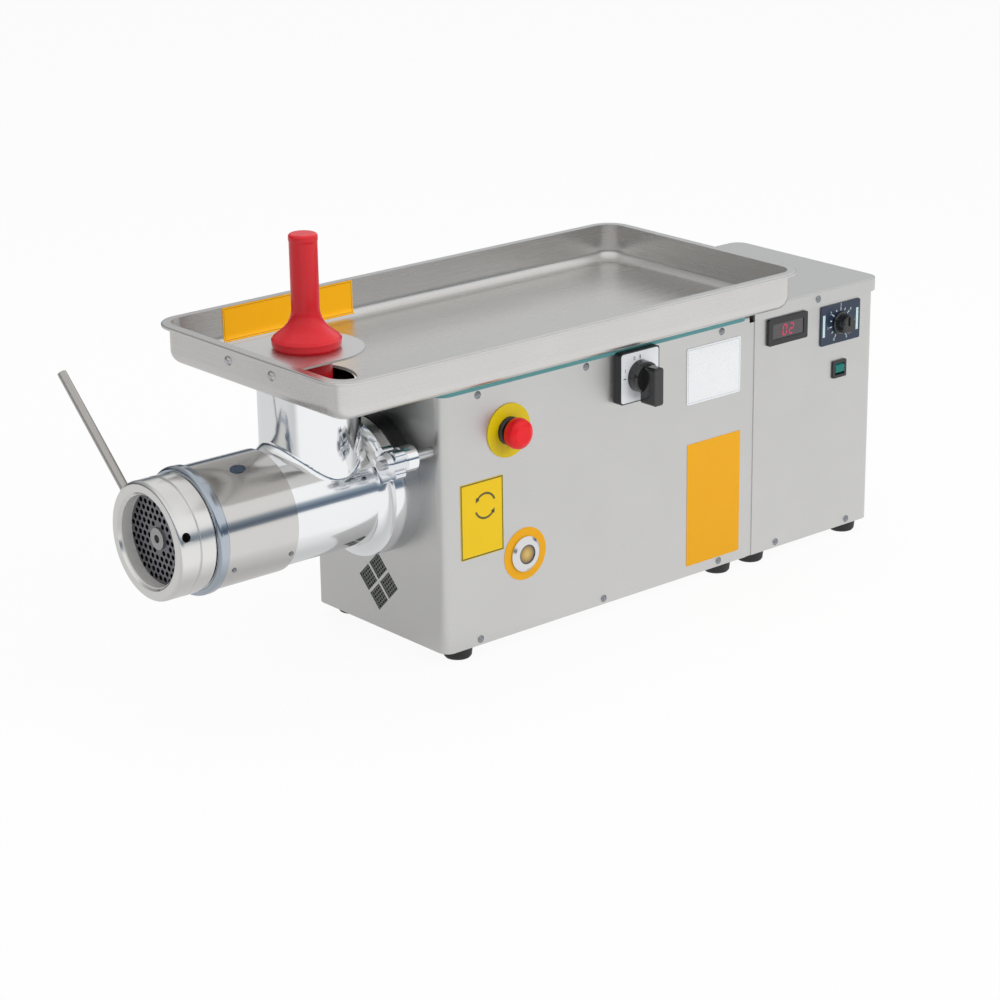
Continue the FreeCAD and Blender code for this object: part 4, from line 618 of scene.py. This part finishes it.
def swing(bm, angle, axis, verts):
    """Turns vertices about an axis through the origin, by an angle in degrees."""
    bmesh.ops.rotate(bm, cent=(0, 0, 0), matrix=Matrix.Rotation(math.radians(angle), 3, axis), verts=verts)


def stand(bm, x, y, z):
    """Stands a flat shape up against a panel that faces -Y, and moves it to its place."""
    swing(bm, 90, "X", bm.verts)
    bmesh.ops.translate(bm, vec=(x, y, z), verts=bm.verts)


# %% Finish a piece
def finish_piece(name, bm, body, slot, *materials):
    """Closes a mesh, makes it an object, and lets it ride on a body."""
    bmesh.ops.remove_doubles(bm, verts=bm.verts, dist=1e-6)
    bmesh.ops.recalc_face_normals(bm, faces=bm.faces)
    for face in bm.faces:
        face.smooth = True
    for edge in bm.edges:
        edge.smooth = edge.calc_face_angle(0) < math.radians(35)
    mesh = bpy.data.meshes.new(name)
    bm.to_mesh(mesh)
    bm.free()
    piece = bpy.data.objects.new(name, mesh)
    bpy.context.scene.collection.objects.link(piece)
    for material in materials:
        mesh.materials.append(material)
    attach(piece, body)
    print(name, len(mesh.polygons), "faces")
    return piece


# %% [markdown]
# ## Lip of the seal
# The soft strip under the tray is folded over the casing's top edge, so a narrow lip of it shows on
# the sides. The lip is a flat ring between two rounded outlines, joined with the bridge operator
# and raised to its height.

# %% Seal lip
LIP = 0.0010
LIP_DROP = 0.0030
LIP_CORNER = 0.012
shell_low, shell_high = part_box("front_shell")
seal_low, seal_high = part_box("tray_seal")
seal_inset = seal_low.x - shell_low.x
lip_end = seal_high.x + seal_inset
lip_low = Vector((shell_low.x - LIP, shell_low.y - LIP, shell_high.z - LIP_DROP))
lip_high = Vector((lip_end, shell_high.y + LIP, seal_high.z))
lip_size = lip_high - lip_low
lip_middle = (lip_low + lip_high) / 2
bm = bmesh.new()
for inset in (0, LIP):
    verts = bmesh.ops.create_grid(bm, x_segments=1, y_segments=1, size=0.5)["verts"]
    bmesh.ops.scale(bm, vec=(lip_size.x - 2 * inset, lip_size.y - 2 * inset, 1), verts=verts)
    bmesh.ops.bevel(bm, geom=verts, offset=LIP_CORNER - inset, segments=8, profile=0.5,
                    affect="VERTICES", material=-1)
bmesh.ops.delete(bm, geom=bm.faces[:], context="FACES_ONLY")
bmesh.ops.bridge_loops(bm, edges=bm.edges[:])
thicken(bm, bm.faces[:], lip_size.z)
bmesh.ops.translate(bm, vec=(lip_middle.x, lip_middle.y, lip_low.z), verts=bm.verts)
print("lip from", tuple(lip_low), "to", tuple(lip_high))
finish_piece("seal_lip", bm, "machine", "seal", seal_teal)

# %% [markdown]
# ## Direction label
# A yellow film on the long side shows which way the worm must turn. It is a plate with a border
# line and two curved arrows. The arrows are swept round a centre with the spin operator, and each
# head is a three-sided circle.

# %% Yellow label
FILM = 0.0003
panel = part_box("front_shell")[0].y
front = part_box("front_shell")[0].x
casing_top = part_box("front_shell")[1].z
label_low = Vector((front + 0.021, panel - FILM, casing_top - 0.171))
label_high = Vector((front + 0.075, panel, casing_top - 0.094))
yellow_film = label_material("yellow film", (0.87, 0.58, 0.008), (0.20, 0.17, 0.02), label_low,
                             label_high, 0.0004, 0.0016, 0.36, Specular_IOR_Level=0.25)
size = label_high - label_low
centre = (label_low + label_high) / 2
bm = bmesh.new()
rounded_plate(bm, size.x, size.z, 0.0015, FILM)
stand(bm, centre.x, panel, centre.z)
finish_piece("direction_label", bm, "machine", "yellow_label", yellow_film)

# %% Arrows on the yellow label
ink = surface("printed ink", skin, (0.10, 0.085, 0.02), 0.45, 0.20, 900.0, 3e-6)
INK = 0.00005
ARROW_RADIUS = 0.0125
ARROW_WIDTH = 0.0022
ARROW_SWEEP = 120
bm = bmesh.new()
for start in (20, 200):
    ends = [bm.verts.new((ARROW_RADIUS + side * ARROW_WIDTH / 2, 0, 0)) for side in (-1, 1)]
    line = bm.edges.new(ends)
    bmesh.ops.spin(bm, geom=[line, *ends], cent=(0, 0, 0), axis=(0, 0, 1),
                   angle=math.radians(ARROW_SWEEP), steps=16)
    arm = [vert for vert in bm.verts if not vert.tag]
    head = bmesh.ops.create_circle(bm, cap_ends=True, segments=3, radius=ARROW_WIDTH * 1.5)["verts"]
    swing(bm, 90 + 30, "Z", head)
    bmesh.ops.translate(bm, vec=(ARROW_RADIUS, 0, 0), verts=head)
    swing(bm, ARROW_SWEEP + 4, "Z", head)
    fresh = arm + head
    swing(bm, start, "Z", fresh)
    for vert in fresh:
        vert.tag = True
thicken(bm, bm.faces[:], INK)
stand(bm, centre.x + 0.004, panel - FILM - 0.00001, centre.z + 0.012)
finish_piece("direction_arrows", bm, "machine", "yellow_label", ink)

# %% [markdown]
# ## Tray label
# An orange film is stuck inside the tray, on the far wall beside the pusher. It is wider than the
# flat part of the wall, so its foot follows the bend. A flat sheet of many rows is drawn first, and
# each row below the start of the bend is then laid round it.

# %% Orange label in the tray
tray_low, tray_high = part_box("tray")
TRAY_LABEL_SPAN = (tray_low.x + 0.0790, tray_low.x + 0.2390)
TRAY_LABEL_HEIGHT = 0.0350
TRAY_WALL = tray_high.y - 0.0095
BEND_RADIUS = 0.0115
BEND_START = tray_high.z - 0.0275
label_top = tray_high.z - 0.0005
bend_angle = (label_top - BEND_START - TRAY_LABEL_HEIGHT) / -BEND_RADIUS
label_foot = BEND_START - BEND_RADIUS * math.sin(bend_angle)
tray_label_low = Vector((TRAY_LABEL_SPAN[0], TRAY_WALL - BEND_RADIUS, label_foot))
tray_label_high = Vector((TRAY_LABEL_SPAN[1], TRAY_WALL, label_top))
# The tray film also glows a little. This is painted light that lifts the label out of the tray's shade.
tray_film = label_material("tray film", (0.96, 0.46, 0.003), (0.45, 0.22, 0.01), tray_label_low,
                           tray_label_high, 0.0012, 0.0008, 0.38, Specular_IOR_Level=0.25,
                           Emission_Color=(1.0, 0.45, 0.0, 1), Emission_Strength=0.12)
bm = bmesh.new()
verts = bmesh.ops.create_grid(bm, x_segments=1, y_segments=30, size=0.5)["verts"]
bmesh.ops.scale(bm, vec=(tray_label_high.x - tray_label_low.x, TRAY_LABEL_HEIGHT, 1), verts=verts)
thicken(bm, bm.faces[:], FILM)
stand(bm, (tray_label_low.x + tray_label_high.x) / 2, TRAY_WALL - FILM / 2,
      label_top - TRAY_LABEL_HEIGHT / 2)
for vert in bm.verts:
    if vert.co.z < BEND_START:
        angle = (BEND_START - vert.co.z) / BEND_RADIUS
        reach = BEND_RADIUS - (TRAY_WALL - vert.co.y)
        vert.co.y = TRAY_WALL - BEND_RADIUS + reach * math.cos(angle)
        vert.co.z = BEND_START - reach * math.sin(angle)
finish_piece("tray_label", bm, "tray", "orange_label", tray_film)

# %% [markdown]
# ## Switch plate
# The main switch has a bright plate round its knob, with a mark at off and at on. The plate is a
# rounded square with a round hole: two edge loops joined with the bridge operator, then raised.

# %% Switch plate
box_low, box_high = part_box("switch_box")
switch_x = (box_low.x + box_high.x) / 2
switch_z = (box_low.z + box_high.z) / 2
switch_face = box_low.y
PLATE_SIDE = 0.0505
PLATE_CORNER = 0.003
PLATE_BORE = 0.0095
PLATE_SHEET = 0.0002
bm = bmesh.new()
verts = bmesh.ops.create_grid(bm, x_segments=1, y_segments=1, size=0.5)["verts"]
bmesh.ops.scale(bm, vec=(PLATE_SIDE, PLATE_SIDE, 1), verts=verts)
bmesh.ops.bevel(bm, geom=verts, offset=PLATE_CORNER, segments=6, profile=0.5,
                affect="VERTICES", material=-1)
bmesh.ops.delete(bm, geom=bm.faces[:], context="FACES_ONLY")
bmesh.ops.create_circle(bm, cap_ends=False, segments=48, radius=PLATE_BORE)
bmesh.ops.bridge_loops(bm, edges=bm.edges[:])
thicken(bm, bm.faces[:], PLATE_SHEET)
stand(bm, switch_x, switch_face, switch_z)
plate_white = surface("switch plate", brushed, (0.84, 0.86, 0.89), 0.36, 0.05, 1500.0, 2e-6,
                      centre=(switch_x, switch_face, switch_z), Metallic=0.10)
finish_piece("switch_plate", bm, "machine", "silver_label", plate_white)


# %% [markdown]
# Marks on a dial are short bars and numerals. A bar is a cube that is stretched, and a numeral is a
# text curve that is made a mesh before it is placed. Both are collected in one mesh for each dial.

# %% Dial marks
def add_bar(bm, angle, radius, length, width, thickness):
    """A bar that points away from the centre at an angle, clockwise from the top, in degrees."""
    verts = bmesh.ops.create_cube(bm, size=1)["verts"]
    bmesh.ops.scale(bm, vec=(width, length, thickness), verts=verts)
    bmesh.ops.translate(bm, vec=(0, radius, thickness / 2), verts=verts)
    swing(bm, -angle, "Z", verts)


def add_numeral(bm, text, angle, radius, height, thickness):
    """An upright numeral at an angle round the centre, clockwise from the top."""
    curve = bpy.data.curves.new("numeral", "FONT")
    curve.body = text
    curve.size = height * 1.4
    curve.extrude = thickness / 2
    curve.align_x = "CENTER"
    curve.align_y = "CENTER"
    holder = bpy.data.objects.new("numeral", curve)
    mesh = bpy.data.meshes.new_from_object(holder)
    turn = math.radians(angle)
    place = (radius * math.sin(turn), radius * math.cos(turn), thickness / 2)
    mesh.transform(Matrix.Translation(place))
    bm.from_mesh(mesh)
    bpy.data.objects.remove(holder)
    bpy.data.curves.remove(curve)
    bpy.data.meshes.remove(mesh)


print("dial marks ready")

# %% Marks on the switch plate
MARK = 0.00006
bm = bmesh.new()
add_bar(bm, 0, 0.0195, 0.004, 0.0014, MARK)
add_bar(bm, -90, 0.0205, 0.003, 0.0010, MARK)
add_numeral(bm, "0", -22, 0.0205, 0.0038, MARK)
add_numeral(bm, "1", -68, 0.0215, 0.0038, MARK)
stand(bm, switch_x, switch_face - PLATE_SHEET - 0.00001, switch_z)
finish_piece("switch_marks", bm, "machine", "black_plastic", nylon)

# %% Marks on the thermostat
plate_low, plate_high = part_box("thermostat_case")
dial_x = (plate_low.x + plate_high.x) / 2
dial_z = (plate_low.z + plate_high.z) / 2
dial_ink = surface("dial ink", skin, (0.55, 0.72, 0.74), 0.45, 0.10, 900.0, 3e-6)
FIRST_MARK = -150
LAST_NUMBER = 6
MARK_STEP = 25
bm = bmesh.new()
for step in range(2 * LAST_NUMBER + 1):
    length = 0.0026 if step % 2 else 0.0040
    add_bar(bm, FIRST_MARK + MARK_STEP * step, 0.0152, length, 0.0011, MARK)
for number in range(LAST_NUMBER + 1):
    add_numeral(bm, str(number), FIRST_MARK + 2 * MARK_STEP * number, 0.0195, 0.0034, MARK)
for angle in (-90, 90):
    add_bar(bm, angle, 0.0255, 0.0035, 0.0240, MARK)
stand(bm, dial_x, plate_low.y - 0.00001, dial_z)
finish_piece("thermostat_marks", bm, "machine", "silver_label", dial_ink)

# %% [markdown]
# ## Display
# The temperature display has a smoked window, and dim red seven-segment digits behind it. Each lit
# segment is a slim bar. The digits lean a few degrees, as such digits do, which a shear after
# placing gives.

# %% Display window and digits
WINDOW_WIDTH = 0.0455
WINDOW_HEIGHT = 0.0160
WINDOW_SHEET = 0.0008
case_low, case_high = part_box("display_case")
window_y = case_low.y + 0.0015
display_x = (case_low.x + case_high.x) / 2
display_z = (case_low.z + case_high.z) / 2
smoked = surface("smoked window", skin, (0.045, 0.035, 0.042), 0.12, 0.10, 500.0, 2e-6,
                 Coat_Weight=0.6)
bm = bmesh.new()
rounded_plate(bm, WINDOW_WIDTH, WINDOW_HEIGHT, WINDOW_SHEET, WINDOW_SHEET)
stand(bm, display_x, window_y, display_z)
finish_piece("display_window", bm, "machine", "black_plastic", smoked)

SEGMENTS = {
    "a": (0, 1, 0), "b": (0.5, 0.5, 90), "c": (0.5, -0.5, 90), "d": (0, -1, 0), "e": (-0.5, -0.5, 90),
    "f": (-0.5, 0.5, 90), "g": (0, 0, 0),
}
DIGITS = {"0": "abcdef", "2": "abdeg"}
DIGIT_HALF = 0.0052
DIGIT_PITCH = DIGIT_HALF * 1.9
LEAN = 0.14
bm = bmesh.new()
for place, digit in enumerate("02"):
    for segment in DIGITS[digit]:
        across, up, turn = SEGMENTS[segment]
        verts = bmesh.ops.create_cube(bm, size=1)["verts"]
        bmesh.ops.scale(bm, vec=(DIGIT_HALF * 0.82, DIGIT_HALF * 0.3, 0.0001), verts=verts)
        swing(bm, turn, "Z", verts)
        spot = (across * DIGIT_HALF + place * DIGIT_PITCH, up * DIGIT_HALF, 0)
        bmesh.ops.translate(bm, vec=spot, verts=verts)
bmesh.ops.translate(bm, vec=(-DIGIT_PITCH / 2, 0, 0), verts=bm.verts)
lean = Matrix(((1, LEAN, 0), (0, 1, 0), (0, 0, 1)))
bmesh.ops.transform(bm, matrix=lean.to_4x4(), verts=bm.verts)
stand(bm, display_x, window_y - WINDOW_SHEET - 0.0001, display_z)
lit_red = surface("lit red", skin, (0.30, 0.02, 0.05), 0.40, 0.10, 900.0, 1e-6,
                  Emission_Color=(0.55, 0.05, 0.12, 1), Emission_Strength=0.55)
finish_piece("display_digits", bm, "machine", "cap_red", lit_red)

# %% [markdown]
# ## Badge
# A small bare oval plate is fixed on top of the jacket. It is a disc that is stretched and laid on
# the curve.

# %% Badge on the jacket
sleeve_low, sleeve_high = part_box("barrel_sleeve")
sleeve_radius = (sleeve_high.z - sleeve_low.z) / 2
badge_blue = surface("badge enamel", skin, (0.03, 0.05, 0.09), 0.20, 0.10, 900.0, 3e-6, Coat_Weight=0.6)
BADGE_RADII = (0.0085, 0.0055, 1)
BADGE_SHEET = 0.0008
BADGE_SINK = 0.0002
BADGE_TILT = 22
BADGE_PLACE = 0.038
bm = bmesh.new()
verts = bmesh.ops.create_circle(bm, cap_ends=True, segments=40, radius=1)["verts"]
bmesh.ops.scale(bm, vec=BADGE_RADII, verts=verts)
thicken(bm, bm.faces[:], BADGE_SHEET)
bmesh.ops.translate(bm, vec=(0, 0, sleeve_radius - BADGE_SINK), verts=bm.verts)
swing(bm, BADGE_TILT, "X", bm.verts)
bmesh.ops.translate(bm, vec=(sleeve_low.x + BADGE_PLACE, head_axis.y, head_axis.z), verts=bm.verts)
finish_piece("jacket_badge", bm, "machine", "dial_blue", badge_blue)

# %% [markdown]
# ## Studio
# The machine stands on a white floor in a white room. Lifting the lamps until the floor burns out
# would spoil the steel, so the floor and the room are white only for rays that come from the camera
# or through glass. Light Path tells those rays apart. Rays from a mirror see the floor too, but a
# greyer one towards the far left, which gives the polished head its darker side. The floor keeps a
# share of its real shading, which leaves the shadow.

# %% Floor
BRIGHT_SIDE = (0.3, -0.95, 0.0)
FLOOR_RADIUS = 6.0
GLOW_SHARE = 0.93


def brightness(tree, place, reach, steps):
    """How bright the room looks in a mirror, from steps on the far left to those on the near right."""
    towards = add_node(tree, "ShaderNodeVectorMath", {0: place, 1: BRIGHT_SIDE}, operation="DOT_PRODUCT")
    spread = sums(tree, "MULTIPLY_ADD", towards.outputs["Value"], 0.5 / reach, 0.5)
    ramp = add_node(tree, "ShaderNodeValToRGB", {"Fac": spread})
    return fill_ramp(ramp, steps)


def fill_ramp(ramp, steps):
    """Fills a colour ramp with (position, colour) steps and returns its colour."""
    stops = ramp.color_ramp.elements
    stops[0].position = steps[0][0]
    stops[1].position = steps[-1][0]
    for position, _ in steps[1:-1]:
        stops.new(position)
    for stop, (_, colour) in zip(stops, steps):
        stop.color = (*colour, 1)
    return ramp.outputs["Color"]


def grey(value):
    """A grey of one brightness."""
    return (value, value, value)


floor_white, tree, shader = new_material("floor white", Base_Color=(0.85, 0.85, 0.85, 1), Roughness=0.9)
path = add_node(tree, "ShaderNodeLightPath").outputs
mirror = brightness(tree, centred(tree), 0.8, [
    (0.10, grey(0.72)), (0.30, grey(0.70)), (0.48, grey(0.62)), (0.58, grey(1.0)), (1.0, grey(1.0)),
])
shown = mixed(tree, path["Is Glossy Ray"], (1, 1, 1, 1), mirror)
glow = add_node(tree, "ShaderNodeEmission", {"Color": shown, "Strength": 1.0})
seen = sums(tree, "MAXIMUM", path["Is Camera Ray"], path["Is Glossy Ray"])
seen = sums(tree, "MAXIMUM", seen, path["Is Transmission Ray"])
share = sums(tree, "MULTIPLY", seen, GLOW_SHARE)
blend = add_node(tree, "ShaderNodeMixShader", {0: share, 1: shader.outputs[0], 2: glow.outputs[0]})
tree.links.new(blend.outputs[0], tree.nodes["Material Output"].inputs["Surface"])
bm = bmesh.new()
bmesh.ops.create_circle(bm, cap_ends=True, segments=64, radius=FLOOR_RADIUS)
mesh = bpy.data.meshes.new("floor")
bm.to_mesh(mesh)
bm.free()
mesh.materials.append(floor_white)
floor = bpy.data.objects.new("floor", mesh)
bpy.context.scene.collection.objects.link(floor)
print("floor laid")

# %% [markdown]
# The room light is a world. Its diffuse light is even. For mirrors it has a bright upper part and a
# wide dark band above the horizon, a little blue, as the far wall of a large room has, because
# polished metal only looks like metal when it has something dark to show. The far left of the room
# is darker too.

# %% Room light
EVEN_LIGHT = 0.55
world = bpy.data.worlds.new("studio")
bpy.context.scene.world = world
world.use_nodes = True
tree = world.node_tree
tree.nodes.clear()
path = add_node(tree, "ShaderNodeLightPath").outputs
direction = add_node(tree, "ShaderNodeTexCoord")
heading = add_node(tree, "ShaderNodeSeparateXYZ", {"Vector": direction.outputs["Generated"]})
rise = sums(tree, "MULTIPLY_ADD", heading.outputs["Z"], 0.5, 0.5)
ramp = add_node(tree, "ShaderNodeValToRGB", {"Fac": rise})
height = fill_ramp(ramp, [
    (0.480, grey(0.90)), (0.495, (0.20, 0.24, 0.30)), (0.540, (0.10, 0.14, 0.20)),
    (0.600, (0.30, 0.36, 0.42)), (0.640, grey(1.0)), (0.800, grey(1.0)), (1.0, grey(0.80)),
])
side = brightness(tree, direction.outputs["Generated"], 1.0, [
    (0.02, grey(0.35)), (0.14, grey(0.50)), (0.25, grey(0.90)), (0.50, grey(0.95)), (0.75, grey(1.0)),
])
mirror = add_node(tree, "ShaderNodeVectorMath", {0: height, 1: side}, operation="MULTIPLY")
even = add_node(tree, "ShaderNodeBackground", {"Color": (1, 1, 1, 1), "Strength": EVEN_LIGHT})
mirrored = add_node(tree, "ShaderNodeBackground", {"Color": mirror.outputs["Vector"], "Strength": 1.0})
white = add_node(tree, "ShaderNodeBackground", {"Color": (1, 1, 1, 1), "Strength": 1.0})
lit = add_node(tree, "ShaderNodeMixShader", {
    0: path["Is Glossy Ray"], 1: even.outputs[0], 2: mirrored.outputs[0],
})
seen = sums(tree, "MAXIMUM", path["Is Camera Ray"], path["Is Transmission Ray"])
seen = add_node(tree, "ShaderNodeMixShader", {0: seen, 1: lit.outputs[0], 2: white.outputs[0]})
tree.links.new(seen.outputs[0], add_node(tree, "ShaderNodeOutputWorld").inputs["Surface"])
print("room lit")

# %% [markdown]
# Two large soft lamps shape the object. The key hangs above the control side, and a weaker one
# overhead fills the tray. Large lamps give soft shadows. They are hidden from mirrors, so that the
# steel shows the room alone.

# %% Lamps
def add_lamp(name, spot, aim, side, power):
    """A square soft lamp at a spot, aimed at a point."""
    lamp = bpy.data.lights.new(name, "AREA")
    lamp.size = side
    lamp.energy = power
    holder = bpy.data.objects.new(name, lamp)
    holder.location = spot
    holder.rotation_euler = (Vector(aim) - Vector(spot)).to_track_quat("-Z", "Y").to_euler()
    holder.visible_glossy = False
    bpy.context.scene.collection.objects.link(holder)
    print(name, "at", spot)


add_lamp("key", (0.9, -2.2, 1.7), (0, 0, 0.15), 2.2, 34)
add_lamp("overhead", (0.0, 0.3, 2.6), (0, 0, 0.2), 2.4, 26)

# %% [markdown]
# ## Camera
# The camera looks at the front corner of the control side from a little above, through a long lens.

# %% Camera
AIM = Vector((0.019, -0.0475, 0.089))
AZIMUTH = math.radians(-41.484)
ELEVATION = math.radians(19.516)
DISTANCE = 2.903
ROLL = math.radians(-0.42)
level = math.cos(ELEVATION)
back = Vector((math.sin(AZIMUTH) * level, -math.cos(AZIMUTH) * level, math.sin(ELEVATION)))
lens = bpy.data.cameras.new("camera")
lens.lens = 102.76
lens.sensor_width = 36
lens.shift_x = -0.055
lens.shift_y = 0.022
camera = bpy.data.objects.new("camera", lens)
camera.location = AIM + back * DISTANCE
camera.rotation_mode = "QUATERNION"
aimed = (-back).to_track_quat("-Z", "Y")
camera.rotation_quaternion = aimed @ Euler((0, 0, ROLL)).to_quaternion()
bpy.context.scene.collection.objects.link(camera)
bpy.context.scene.camera = camera
bpy.context.scene.view_settings.view_transform = "Standard"
print("camera at", [round(value, 3) for value in camera.location])
